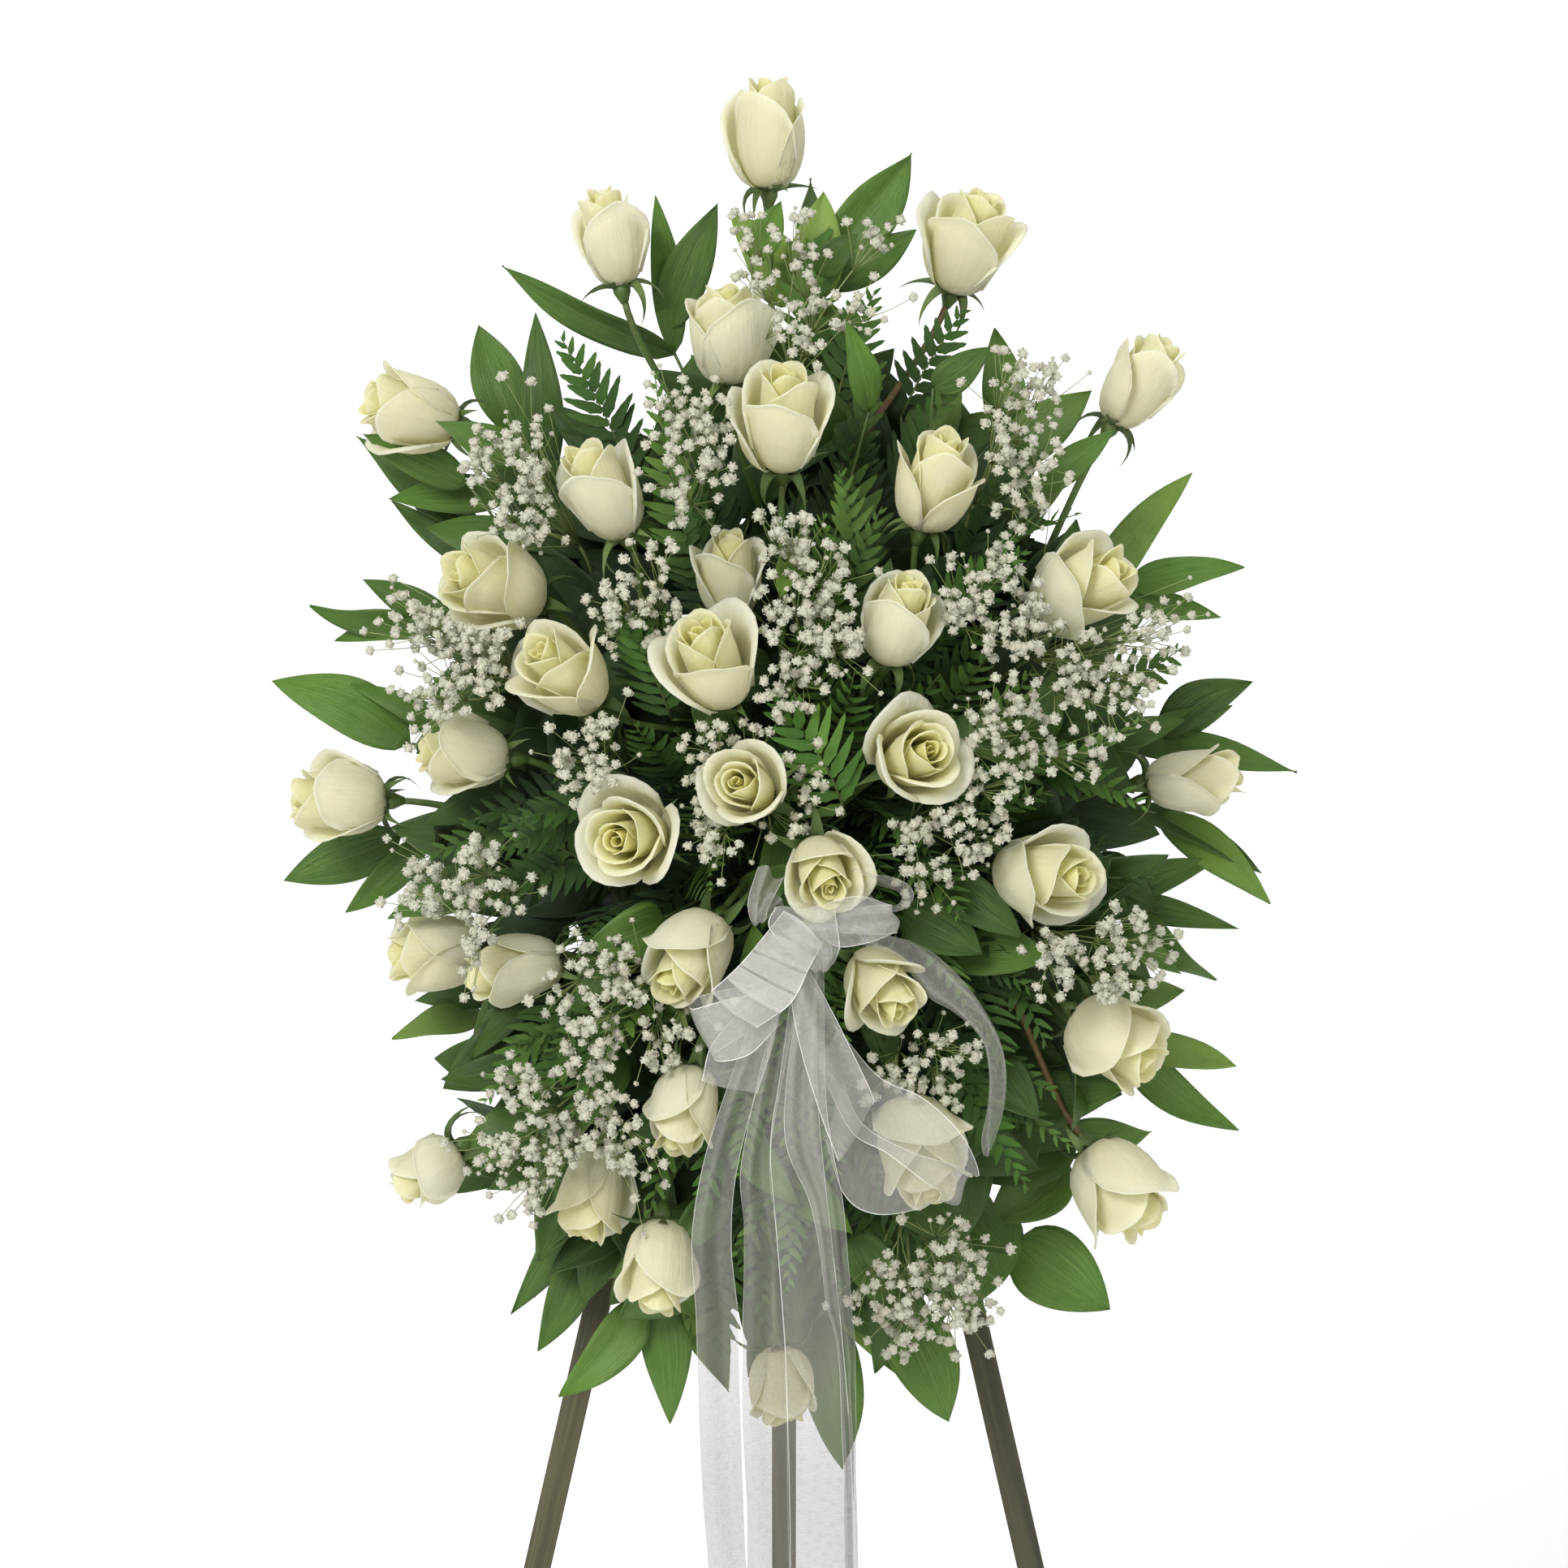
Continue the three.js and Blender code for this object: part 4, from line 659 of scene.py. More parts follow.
def only(thing: bpy.types.Object) -> None:
    """Makes one object the only one selected, and active.

    Args:
        thing: The object.
    """
    bpy.ops.object.select_all(action="DESELECT")
    thing.select_set(True)
    bpy.context.view_layer.objects.active = thing


class Gather:
    """Collects the points and faces of the many small parts that make one piece."""

    def __init__(self) -> None:
        """Starts with nothing."""
        self.points: list[Array] = []
        self.faces: list[list[int]] = []
        self.materials: list[int] = []
        self.uvs: list[Array] = []
        self.tones: list[Array] = []
        self.hearts: list[Array] = []
        self.total = 0

    def add(self, points: Array, faces: Array | list[list[int]], material: int = 0,
            uv: Array | float = 0.0, tone: float | Array = 0.5,
            heart: float | Array = 0.0) -> None:
        """Adds one part.

        Args:
            points: Its points, in millimetres in the spray's frame.
            faces: The corners of its faces.
            uv: Places of its points on a flat pattern, or one number for them all.
            tone: A number from 0 to 1 that shades the part, which on the ribbon is its painted light.
            heart: A number from 0 to 1 for each point, such as how deep in a bloom it lies, or how
                much painted shade a leaf gets.
        """
        count = len(points)
        self.points.append(points)
        corners = faces.tolist() if isinstance(faces, np.ndarray) else faces
        self.faces.extend([[c + self.total for c in face] for face in corners])
        self.materials.extend([material] * len(corners))
        self.uvs.append(np.broadcast_to(uv, (count, 2)))
        self.tones.append(np.broadcast_to(tone, count))
        self.hearts.append(np.broadcast_to(heart, count))
        self.total += count

    def add_tube(self, path: Array, radii: float | Array, sides: int, material: int = 0,
                 tone: float = 0.5, uv: float = 0.0) -> None:
        """Adds a closed tube along a path.

        Args:
            path: The points that it follows.
            radii: Its radius, or one for each point.
            sides: How many sides it has.
            tone: A number from 0 to 1 that shades it.
            uv: Its place on a flat pattern.
        """
        radii = np.broadcast_to(radii, len(path))
        tangents = unit(np.gradient(path, axis=0))
        aside = (0.0, 1.0, 0.0) if abs(tangents[0][1]) < 0.8 else (1.0, 0.0, 0.0)
        rows, normal = [], unit(np.cross(tangents[0], point(aside)))
        angles = np.arange(sides) * 2 * math.pi / sides
        for middle, tangent, radius in zip(path, tangents, radii):
            normal = unit(normal - tangent * normal.dot(tangent))
            binormal = np.cross(tangent, normal)
            rows.append(middle + radius * (np.outer(np.cos(angles), normal)
                                           + np.outer(np.sin(angles), binormal)))
        rows += [path[0] - tangents[0] * radii[0] * 0.3, path[-1] + tangents[-1] * radii[-1] * 0.3]
        first = (len(path) - 1) * sides  # the first corner of the last ring
        ring = [(j, (j + 1) % sides) for j in range(sides)]
        faces = [[i + j, i + k, i + sides + k, i + sides + j]
                 for i in range(0, first, sides) for j, k in ring]
        for j, k in ring:
            faces += [[first + sides, k, j], [first + sides + 1, first + j, first + k]]
        self.add(np.vstack(rows), faces, material, uv, tone)

    def finish(self, name: str, materials: Sequence[bpy.types.Material],
               thickness: float = 0.0, second_side: int = 0) -> bpy.types.Object:
        """Makes the piece.

        Args:
            name: Its name.
            materials: Its finishes.
            thickness: What its open sheets get as a wall, in millimetres.
            second_side: How many places on in the list the finish of the wall's back stands.

        Returns:
            The new object, at the origin.
        """
        mesh = bpy.data.meshes.new(name)
        points = Head.to_world(np.concatenate(self.points))
        mesh.from_pydata(points.tolist(), [], self.faces)
        mesh.polygons.foreach_set("material_index", self.materials)
        mesh.polygons.foreach_set("use_smooth", [True] * len(self.faces))
        corners = np.zeros(len(mesh.loops), int)
        mesh.loops.foreach_get("vertex_index", corners)
        layer = mesh.uv_layers.new(name="UVMap")
        layer.data.foreach_set("uv", np.concatenate(self.uvs)[corners].ravel())
        for label, values in (("tone", self.tones), ("heart", self.hearts)):
            attribute = mesh.attributes.new(label, "FLOAT", "POINT")
            attribute.data.foreach_set("value", np.concatenate(values).astype(np.float32))
        for material in materials:
            mesh.materials.append(material)
        mesh.update()
        made = bpy.data.objects.new(name, mesh)
        bpy.context.scene.collection.objects.link(made)
        if thickness:
            only(made)
            wall = made.modifiers.new("wall", "SOLIDIFY")
            wall.thickness = thickness * MM
            wall.offset = 0
            wall.material_offset = second_side
            bpy.ops.object.modifier_apply(modifier="wall")
        return made


def placed(made: bpy.types.Object, body: Body, node: str) -> None:
    """Rides a piece on its body, hides the solid that it stands for, and logs it.

    Args:
        made: The finished piece.
        body: The body that it moves with.
        node: The solid that it replaces.
    """
    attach(made, body.value)
    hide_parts(node)
    LOG.info("%s: %d faces", made.name, len(made.data.polygons))


# Finishes


def colour(red: float, green: float, blue: float) -> Colour:
    """Turns a screen colour into the linear one that a shader takes.

    Args:
        red: Its red, from 0 to 255.
        green: Its green.
        blue: Its blue.

    Returns:
        The linear colour, opaque.
    """
    parts = [v / 255 for v in (red, green, blue)]
    linear = [v / 12.92 if v <= 0.04045 else ((v + 0.055) / 1.055) ** 2.4 for v in parts]
    return (*linear, 1.0)


class Shader:
    """A new material, whose nodes are added one at a time."""

    def __init__(self, name: str, roughness: float, **constants: object) -> None:
        """Makes the material with its surface shader.

        Args:
            name: The material's name.
            roughness: Its plain roughness.
            constants: Other sockets of the surface shader, with spaces written as underscores.
        """
        self.material = bpy.data.materials.new(name)
        self.material.use_nodes = True
        self.tree = self.material.node_tree
        self.surface = self.tree.nodes["Principled BSDF"]
        self.surface.inputs["Roughness"].default_value = roughness
        for socket, value in constants.items():
            self.surface.inputs[socket.replace("_", " ")].default_value = value

    def node(self, kind: str, **inputs: object) -> bpy.types.Node:
        """Adds a node.

        Args:
            kind: Its type, without the leading word for a shader node.
            inputs: Its properties by name, or its sockets as s0, s1 and so on or by name.

        Returns:
            The node.
        """
        made = self.tree.nodes.new("ShaderNode" + kind)
        for key, value in inputs.items():
            if hasattr(made, key):
                setattr(made, key, value)
                continue
            name = key.replace("_", " ")
            socket = made.inputs[int(key[1:])] if key[1:].isdigit() else made.inputs[name]
            if isinstance(value, Socket):
                self.tree.links.new(value, socket)
            else:
                socket.default_value = value
        return made

    def place(self, kind: str, scale: Numbers = (1, 1, 1)) -> Socket:
        """Gives Object or UV coordinates, scaled."""
        return self.node("Mapping", Vector=self.node("TexCoord").outputs[kind],
                         Scale=scale).outputs[0]

    def own(self, attribute: str) -> Socket:
        """Gives one of the piece's own numbers."""
        return self.node("Attribute", attribute_name=attribute).outputs["Fac"]

    def noise(self, where: Socket, scale: float, detail: float = 3,
              roughness: float = 0.55) -> Socket:
        """Gives a cloudy pattern."""
        return self.node("TexNoise", Vector=where, Scale=scale, Detail=detail,
                         Roughness=roughness).outputs[0]

    def steps(self, value: Socket, *stops: tuple[float, Colour]) -> Socket:
        """Maps a number to colours.

        Args:
            value: The number.
            stops: Places from 0 to 1, each with its colour.

        Returns:
            The colour.
        """
        ramp = self.node("ValToRGB", Fac=value)
        elements = ramp.color_ramp.elements
        while len(elements) < len(stops):
            elements.new(0.5)
        for element, (place, shade) in zip(elements, stops):
            element.position = place
            element.color = shade
        return ramp.outputs[0]

    def span(self, value: Socket, low: float, high: float, start: float = 0.0,
             end: float = 1.0) -> Socket:
        """Maps low to start and high to end, and holds the value between them."""
        return self.node("MapRange", s0=value, s1=low, s2=high, s3=start, s4=end).outputs[0]

    def math(self, operation: str, first: object, second: object = 0.5) -> Socket:
        """Works out one number from two."""
        return self.node("Math", operation=operation, s0=first, s1=second).outputs[0]

    def total(self, first: Socket, *others: Socket) -> Socket:
        """Adds numbers up.

        Args:
            first: The first number.
            others: The numbers that are added to it.

        Returns:
            The sum.
        """
        for other in others:
            first = self.math("ADD", first, other)
        return first

    def off_middle(self) -> Socket:
        """Gives how far from the middle line of its flat pattern a place lies."""
        across = self.node("SeparateXYZ", Vector=self.node("TexCoord").outputs["UV"]).outputs[0]
        return self.math("ABSOLUTE", self.math("SUBTRACT", across, 0.5))

    def mix(self, share: object, first: object, second: object) -> Socket:
        """Mixes two colours."""
        return self.node("Mix", data_type="RGBA", s0=share, s6=first, s7=second).outputs[2]

    def paint(self, shade: Socket) -> None:
        """Sets the surface's colour."""
        self.tree.links.new(shade, self.surface.inputs["Base Color"])

    def drive(self, socket: str, value: Socket) -> None:
        """Links a value to a socket of the surface."""
        self.tree.links.new(value, self.surface.inputs[socket])

    def let_through(self, shade: Socket, share: float) -> None:
        """Lets light come through the surface.

        Args:
            shade: The light's tint.
            share: How much of it comes through.
        """
        through = self.node("BsdfTranslucent", Color=shade)
        both = self.node("MixShader", s0=share, s1=self.surface.outputs[0], s2=through.outputs[0])
        self.tree.links.new(both.outputs[0], self.tree.nodes["Material Output"].inputs[0])

    def relief(self, height: Socket, strength: float, distance: float) -> None:
        """Gives the surface small relief, of a height in metres."""
        bump = self.node("Bump", Strength=strength, Distance=distance, Height=height)
        self.tree.links.new(bump.outputs[0], self.surface.inputs["Normal"])


@dataclass(frozen=True)
class Petal:
    """Ivory rose petals: a warm yellow depth, pale rims, fine veins and light that comes through."""

    rim: Colour = colour(253, 252, 238)
    body: Colour = colour(251, 248, 217)
    depth: Colour = colour(250, 244, 168)
    base: Colour = colour(242, 237, 134)

    def material(self) -> bpy.types.Material:
        """Makes the material.

        Returns:
            The material.
        """
        s = Shader("petal", 0.55, Subsurface_Weight=0.4, Subsurface_Scale=0.006,
                   Subsurface_Radius=(1.0, 0.85, 0.5), Specular_IOR_Level=0.3, Sheen_Weight=0.08)
        shade = s.steps(s.own("heart"), (0.0, self.rim), (0.2, self.body), (0.65, self.depth),
                        (1.0, self.base))
        veins = s.noise(s.place("UV", (26, 1.6, 1)), 2.2, 4, 0.6)
        blotch = s.noise(s.place("Object"), 38, 3)
        shade = s.mix(s.span(veins, 0.45, 0.75, 0, 0.2), shade, colour(244, 240, 190))
        shade = s.mix(s.span(blotch, 0.56, 0.8, 0, 0.25), shade, colour(234, 234, 184))
        shade = s.mix(s.span(s.own("tone"), 0, 1, 0, 0.35), shade, colour(251, 246, 206))
        s.paint(shade)
        s.drive("Roughness", s.span(blotch, 0.3, 0.7, 0.48, 0.66))
        dents = s.noise(s.place("Object"), 75, 3, 0.6)
        folds = s.noise(s.place("UV", (6, 1.1, 1)), 1.3, 2, 0.5)
        height = s.total(s.math("MULTIPLY", veins, 0.3), s.math("MULTIPLY", folds, 1.6), dents)
        s.relief(height, 0.55, 0.0022)
        s.let_through(s.mix(0.35, shade, colour(244, 242, 140)), 0.38)
        return s.material


@dataclass(frozen=True)
class Leaf:
    """Leaves with fine veins that run along them, a pale rib and lighter blotches, and painted shade
    that darkens them the further within the spray they lie.
    """

    name: str = "leaf"
    dark: Colour = colour(40, 78, 24)
    middle: Colour = colour(80, 124, 36)
    light: Colour = colour(140, 172, 72)
    roughness: float = 0.4
    # painted shade: the near-black green mixed into leaves that lie far behind the spray's face
    deep: Colour = colour(14, 32, 14)

    def material(self) -> bpy.types.Material:
        """Makes the material.

        Returns:
            The material.
        """
        s = Shader(self.name, self.roughness, Specular_IOR_Level=0.5)
        veins = s.noise(s.place("UV", (30, 1.0, 1)), 1.8, 4, 0.7)
        blotch = s.noise(s.place("Object"), 60, 5, 0.68)
        shade = s.steps(s.own("tone"), (0.0, self.dark), (0.55, self.middle), (1.0, self.light))
        shade = s.mix(s.span(veins, 0.4, 0.7, 0, 0.5), shade, self.light)
        shade = s.mix(s.span(blotch, 0.5, 0.85, 0, 0.4), shade, self.dark)
        shade = s.mix(s.span(s.off_middle(), 0.01, 0.03, 0.25, 0), shade, colour(126, 152, 84))
        # painted shade: darker towards near-black the further behind the spray's face a leaf lies
        shade = s.mix(s.span(s.own("heart"), 0, 1, 0, 0.8), shade, self.deep)
        s.paint(shade)
        s.drive("Roughness", s.span(blotch, 0.3, 0.8, self.roughness - 0.08, self.roughness + 0.16))
        s.relief(veins, 0.6, 0.0016)
        return s.material


@dataclass(frozen=True)
class Stalk:
    """Green stems, some flushed with red brown."""

    name: str = "stem"
    green: Colour = colour(74, 104, 44)
    other: Colour = colour(98, 66, 48)
    flush: tuple[float, float] = (0.0, 0.35)

    def material(self) -> bpy.types.Material:
        """Makes the material.

        Returns:
            The material.
        """
        s = Shader(self.name, 0.5)
        streaks = s.noise(s.place("Object", (1, 1, 0.35)), 90, 3)
        speckle = s.noise(s.place("Object"), 260, 2)
        shade = s.mix(s.span(streaks, 0.35, 0.7, *self.flush), self.green, self.other)
        shade = s.mix(s.span(speckle, 0.55, 0.75, 0, 0.3), shade, colour(130, 150, 92))
        s.paint(shade)
        s.relief(streaks, 0.3, 0.0008)
        return s.material


@dataclass(frozen=True)
class Floret:
    """Small white ruffled flowers, greener and darker towards their middle: a trace of green with
    painted shade in their depth.
    """

    white: Colour = colour(206, 205, 190)
    # the green of a floret's middle, darkened with painted shade
    depth: Colour = colour(128, 132, 98)

    def material(self) -> bpy.types.Material:
        """Makes the material.

        Returns:
            The material.
        """
        s = Shader("floret", 0.75)
        grain = s.noise(s.place("Object"), 900, 2)
        # a trace of green with painted shade: darker where the petals meet the middle
        shade = s.steps(s.own("heart"), (0.0, self.depth), (0.5, self.white))
        shade = s.mix(s.span(grain, 0.4, 0.7, 0, 0.25), shade, colour(196, 196, 178))
        shade = s.mix(s.span(s.own("tone"), 0, 1, 0, 0.5), shade, colour(196, 194, 170))
        s.paint(shade)
        s.relief(grain, 0.4, 0.0006)
        return s.material


@dataclass(frozen=True)
class Organza:
    """Sheer white ribbon: a fine plain weave with painted glints, bright woven edges, and painted
    light and shade that mixes a shaded and a lit colour.
    """

    threads: float = 90.0  # across the ribbon's width
    shaded: Colour = colour(124, 120, 112)
    lit: Colour = colour(216, 214, 206)
    hem: Colour = colour(236, 236, 230)

    def material(self) -> bpy.types.Material:
        """Makes the material.

        Returns:
            The material.
        """
        s = Shader("organza", 0.42, Sheen_Weight=0.1, Specular_IOR_Level=0.6)
        hem = s.span(s.off_middle(), 0.482, 0.49)
        threads = s.place("UV", (self.threads, self.threads, 1))
        weft, warp = (s.node("TexWave", Vector=threads, bands_direction=way, Scale=1.0).outputs[1]
                      for way in "YX")
        weave = s.math("MULTIPLY", weft, warp)
        streak = s.noise(s.place("UV", (3, 40, 1)), 2.0, 3, 0.6)
        cloud = s.noise(s.place("UV", (5, 5, 1)), 1.6, 3, 0.6)
        # painted glints: specks where the cover thickens, standing in for light that glitters off the
        # threads
        glints = s.noise(s.place("UV", (90, 90, 1)), 2.4, 1, 0.5)
        # where the ribbon is painted as shaded, its cover also thickens
        body = s.total(s.span(weave, 0, 1, 0.22, 0.32), s.span(streak, 0.35, 0.7, 0, 0.12),
                       s.span(cloud, 0.5, 0.75, 0, 0.1), s.span(s.own("tone"), 0, 0.6, 0.14, 0),
                       s.span(glints, 0.62, 0.7, 0, 0.4), s.math("MULTIPLY", s.own("heart"), 0.3))
        # the bright edges show less where the ribbon is painted as shaded
        edge = s.math("MULTIPLY", hem, s.span(s.own("tone"), 0, 1, 0.5, 0.9))
        s.drive("Alpha", s.math("MAXIMUM", body, edge))
        # painted light and shade: the tone mixes the shaded and the lit colour
        s.paint(s.mix(hem, s.mix(s.own("tone"), self.shaded, self.lit), self.hem))
        s.relief(weave, 0.2, 0.0003)
        return s.material


@dataclass(frozen=True)
class StainedWood:
    """Stained wood: grain along each piece, darker pores and worn, lighter edges."""

    dark: Colour = colour(38, 36, 20)
    middle: Colour = colour(66, 63, 38)
    light: Colour = colour(94, 90, 60)

    def material(self) -> bpy.types.Material:
        """Makes the material.

        Returns:
            The material.
        """
        s = Shader("stained_wood", 0.58)
        grain = s.node("Attribute", attribute_name="grain").outputs["Vector"]
        along = s.node("Mapping", Vector=grain, Scale=(90, 90, 3.2)).outputs[0]
        fine = s.node("Mapping", Vector=grain, Scale=(620, 620, 11)).outputs[0]
        rings = s.noise(along, 1.0, 4, 0.6)
        pores = s.noise(fine, 1.0, 3, 0.6)
        shade = s.steps(rings, (0.3, self.dark), (0.5, self.middle), (0.72, self.light))
        shade = s.mix(s.span(pores, 0.52, 0.7, 0, 0.5), shade, self.dark)
        wear = s.node("NewGeometry").outputs["Pointiness"]
        shade = s.mix(s.span(wear, 0.52, 0.6, 0, 0.35), shade, self.light)
        s.paint(shade)
        s.drive("Roughness", s.span(pores, 0.3, 0.7, 0.46, 0.7))
        s.relief(pores, 0.35, 0.0006)
        return s.material


@dataclass(frozen=True)
class WetFoam:
    """Green flower foam: a fine open crumb, darker where it is wet."""

    dry: Colour = colour(58, 92, 60)
    wet: Colour = colour(28, 58, 36)

    def material(self) -> bpy.types.Material:
        """Makes the material.

        Returns:
            The material.
        """
        s = Shader("wet_foam", 0.92)
        where = s.place("Object")
        crumb = s.noise(where, 700, 2)
        damp = s.noise(where, 22, 3)
        shade = s.mix(s.span(damp, 0.35, 0.65), self.dry, self.wet)
        shade = s.mix(s.span(crumb, 0.35, 0.6, 0.55, 0), shade, colour(16, 34, 22))
        s.paint(shade)
        s.relief(crumb, 0.8, 0.0012)
        return s.material


@dataclass(frozen=True)
class TrayPlastic:
    """Moulded green plastic with a fine matte texture and some wear."""

    plain: Colour = colour(30, 58, 38)
    worn: Colour = colour(72, 100, 76)

    def material(self) -> bpy.types.Material:
        """Makes the material.

        Returns:
            The material.
        """
        s = Shader("tray_plastic", 0.42)
        texture = s.noise(s.place("Object"), 900, 2)
        scuffs = s.noise(s.place("Object", (1, 1, 6)), 60, 4, 0.7)
        s.paint(s.mix(s.span(scuffs, 0.55, 0.8, 0, 0.4), self.plain, self.worn))
        s.drive("Roughness", s.span(scuffs, 0.3, 0.8, 0.36, 0.62))
        s.relief(texture, 0.3, 0.0004)
        return s.material


@dataclass(frozen=True)
class Steel:
    """Zinc plated steel with a brushed grain and a little dulling."""

    bright: Colour = colour(196, 198, 200)
    dulled: Colour = colour(140, 142, 146)

    def material(self) -> bpy.types.Material:
        """Makes the material.

        Returns:
            The material.
        """
        s = Shader("plated_steel", 0.34, Metallic=1.0)
        brush = s.noise(s.place("Object", (30, 30, 900)), 1.0, 3)
        dull = s.noise(s.place("Object"), 120, 3)
        s.paint(s.mix(s.span(dull, 0.4, 0.7, 0, 0.7), self.bright, self.dulled))
        s.drive("Roughness", s.span(brush, 0.3, 0.7, 0.26, 0.46))
        s.relief(brush, 0.15, 0.0003)
        return s.material


@dataclass(frozen=True)
class StudioFloor:
    """A plain pale studio floor that glows with painted light, brighter behind the spray as a lit
    sweep is.
    """

    plain: Colour = colour(250, 250, 250)
    mottled: Colour = colour(247, 247, 247)

    def material(self) -> bpy.types.Material:
        """Makes the material.

        Returns:
            The material.
        """
        # the floor glows white with painted light
        s = Shader("studio_floor", 0.9, Emission_Color=WHITE, Specular_IOR_Level=0.1)
        where = s.place("Object")
        s.paint(s.mix(s.span(s.noise(where, 3, 2), 0.3, 0.7), self.plain, self.mottled))
        # painted light: the glow grows from a little near the spray to most far behind it
        behind = s.node("SeparateXYZ", Vector=where).outputs[1]
        near = s.span(behind, 0.5, 1.4, 0.04, 0.28)
        s.drive("Emission Strength", s.total(near, s.span(behind, 1.6, 6, 0, 0.34)))
        return s.material


@lru_cache(maxsize=None)
def material_of(finish: object) -> bpy.types.Material:
    """Makes each finish's material once."""
    return finish.material()


LEAF = Leaf()
LEAF_BACK = Leaf("leaf_back", colour(58, 84, 48), colour(90, 116, 70), colour(134, 154, 100), 0.6)
FERN = Leaf("fern", colour(40, 82, 28), colour(74, 124, 42), colour(118, 158, 66), 0.55)
STEM = Stalk()
RED_STEM = Stalk("stem_red", colour(98, 84, 42), colour(90, 58, 40), (0.2, 0.8))
SEPAL = Leaf("sepal", colour(50, 72, 32), colour(84, 110, 52), colour(130, 150, 90), 0.5)
THREAD = Stalk("thread", colour(128, 146, 84), colour(150, 156, 104), (0.0, 0.7))


# The flowers


@dataclass(frozen=True)
class Rose:
    """One rose: its place, its size and how far it is open.

    The bloom is a spiral of petals. Each one wraps round the axis, swells out from its foot and rolls
    back at its rim, the outer ones most.
    """

    index: int
    bunch: str
    at: Numbers
    turn: float
    facing: float
    length: float
    width: float
    open: float
    petals: tuple[int, int] = (10, 15)  # for a shut bloom and for an open one
    foot: float = 0.13  # the share of its width at its foot
    petal_thickness: float = 0.35
    hip_length: float = 11.0
    hip_radii: Numbers = (2.3, 3.4, 5.2, 5.4, 3.0)
    sepals: int = 5
    sepal_half: float = 5.4
    sepal_length: Numbers = (21.0, 30.0)  # the least and the most
    sepal_bend: Numbers = (10.0, 118.0)  # how far it bends down, in degrees
    sepal_heading: float = 28.0  # how far it rises at its root, in degrees
    sepal_fold: float = 0.85  # the rise of its halves from its middle
    stem_radii: tuple[float, float] = (2.5, 2.0)
    stem_bow: float = 52.0  # how far a red stem bows out to the viewer

    @property
    def number(self) -> int:
        """Gives the rose's number, from 1."""
        return self.index + 1

    @property
    def red(self) -> bool:
        """Says whether its stem is one of the reddish ones."""
        return self.number in RED_STEMS

    @property
    def axis(self) -> Array:
        """Gives the way that the bloom points.

        Returns:
            A unit vector.
        """
        flat = math.sqrt(1 - self.facing ** 2)
        angle = math.radians(self.turn)
        return np.array([flat * math.cos(angle), -self.facing, flat * math.sin(angle)])

    @property
    def base(self) -> Array:
        """Gives the foot of the bloom, where its calyx is."""
        return point(self.at) - self.axis * self.length / 2

    def to_spray(self, local: Array, spin: float = 0.0) -> Array:
        """Turns points about the bloom's own upright axis into the spray's frame.

        Args:
            local: The points.
            spin: How far they are turned about the axis first, in radians.

        Returns:
            The points in the spray's frame.
        """
        side = unit(np.cross(self.axis, point(ASKEW)))
        other = np.cross(self.axis, side)
        c, s = math.cos(spin), math.sin(spin)
        x, y = local[:, 0] * c - local[:, 1] * s, local[:, 0] * s + local[:, 1] * c
        return self.base + np.outer(x, side) + np.outer(y, other) + np.outer(local[:, 2], self.axis)

    def petal(self, t: float, angle: float, rng: np.random.Generator) -> tuple[Array, Array]:
        """Makes one petal.

        Args:
            t: Its place from the heart, 0, to the outside, 1.
            angle: The way that it faces about the axis.
            rng: Draws for its own small differences.

        Returns:
            Its points about the bloom's axis, and how deep in the bloom each one lies.
        """
        grid = flat_grid(*PETAL_NET)
        u, v = grid.u, 1 - (1 - grid.v) ** 1.35
        radius = self.width / 2
        opened = float(smoothstep(self.open * 1.35 * (0.25 + 0.75 * t)))
        outer = float(smoothstep((t - 0.5) / 0.5))
        belly = radius * (0.11 + 0.8 * t ** 1.05) * rng.uniform(0.97, 1.03)
        top = belly * lerp(0.84, 1.04, opened) + rng.normal(0, 0.015) * radius
        height = self.length * float(np.interp(t, [0, 0.35, 0.6, 1],
                                               [0.9, 1.0, 0.98, lerp(0.95, 0.78, self.open)]))
        height *= rng.uniform(1 - 0.16 * outer, 1.02)
        widest = [150, 112, lerp(84, 66, self.open)]
        half = math.radians(float(np.interp(t, [0, 0.4, 1], widest)) * rng.uniform(0.94, 1.06))
        # The outline: how far up the side view each line of the net can reach
        lean = rng.uniform(-0.45, 0.45) * t
        drop = lerp(0.08, 0.34, t) * np.abs(u) ** lerp(2.4, 1.8, t) * (1 + lean * u)
        reachable = 1.03 - drop - 0.3 * np.abs(u) ** 7 + 0.025 * np.exp(-(u / 0.35) ** 2)
        rolled = lerp(0.06, lerp(0.12, 0.24, self.open), t) * (1 - 0.65 * np.abs(u) ** 4)
        q = v * reachable
        start = reachable - rolled
        # Below its rim the petal follows the side view, and from there it rolls out in an arc
        side = ((self.foot * radius, 0), (1.08 * belly, 0), (1.2 * belly, 0.62 * height),
                (top, height))
        controls = [point(row) for row in side]
        body = np.minimum(q, start)
        side_view = bezier(controls, body)
        ahead = bezier(controls, body + 0.01) - side_view
        heading = np.arctan2(ahead[:, 1], ahead[:, 0])
        most = math.radians(lerp(14, lerp(55, 118, self.open), t ** 1.2))
        arc = most * (0.8 + 0.3 * u * u) * (1 + rng.uniform(-0.3, 0.3) * u) + 1e-3
        run = np.clip((q - start) / rolled, 0, 1)
        long = rolled * height
        r = side_view[:, 0] + long / arc * (np.sin(heading) - np.sin(heading - arc * run))
        z = side_view[:, 1] + long / arc * (np.cos(heading - arc * run) - np.cos(heading))
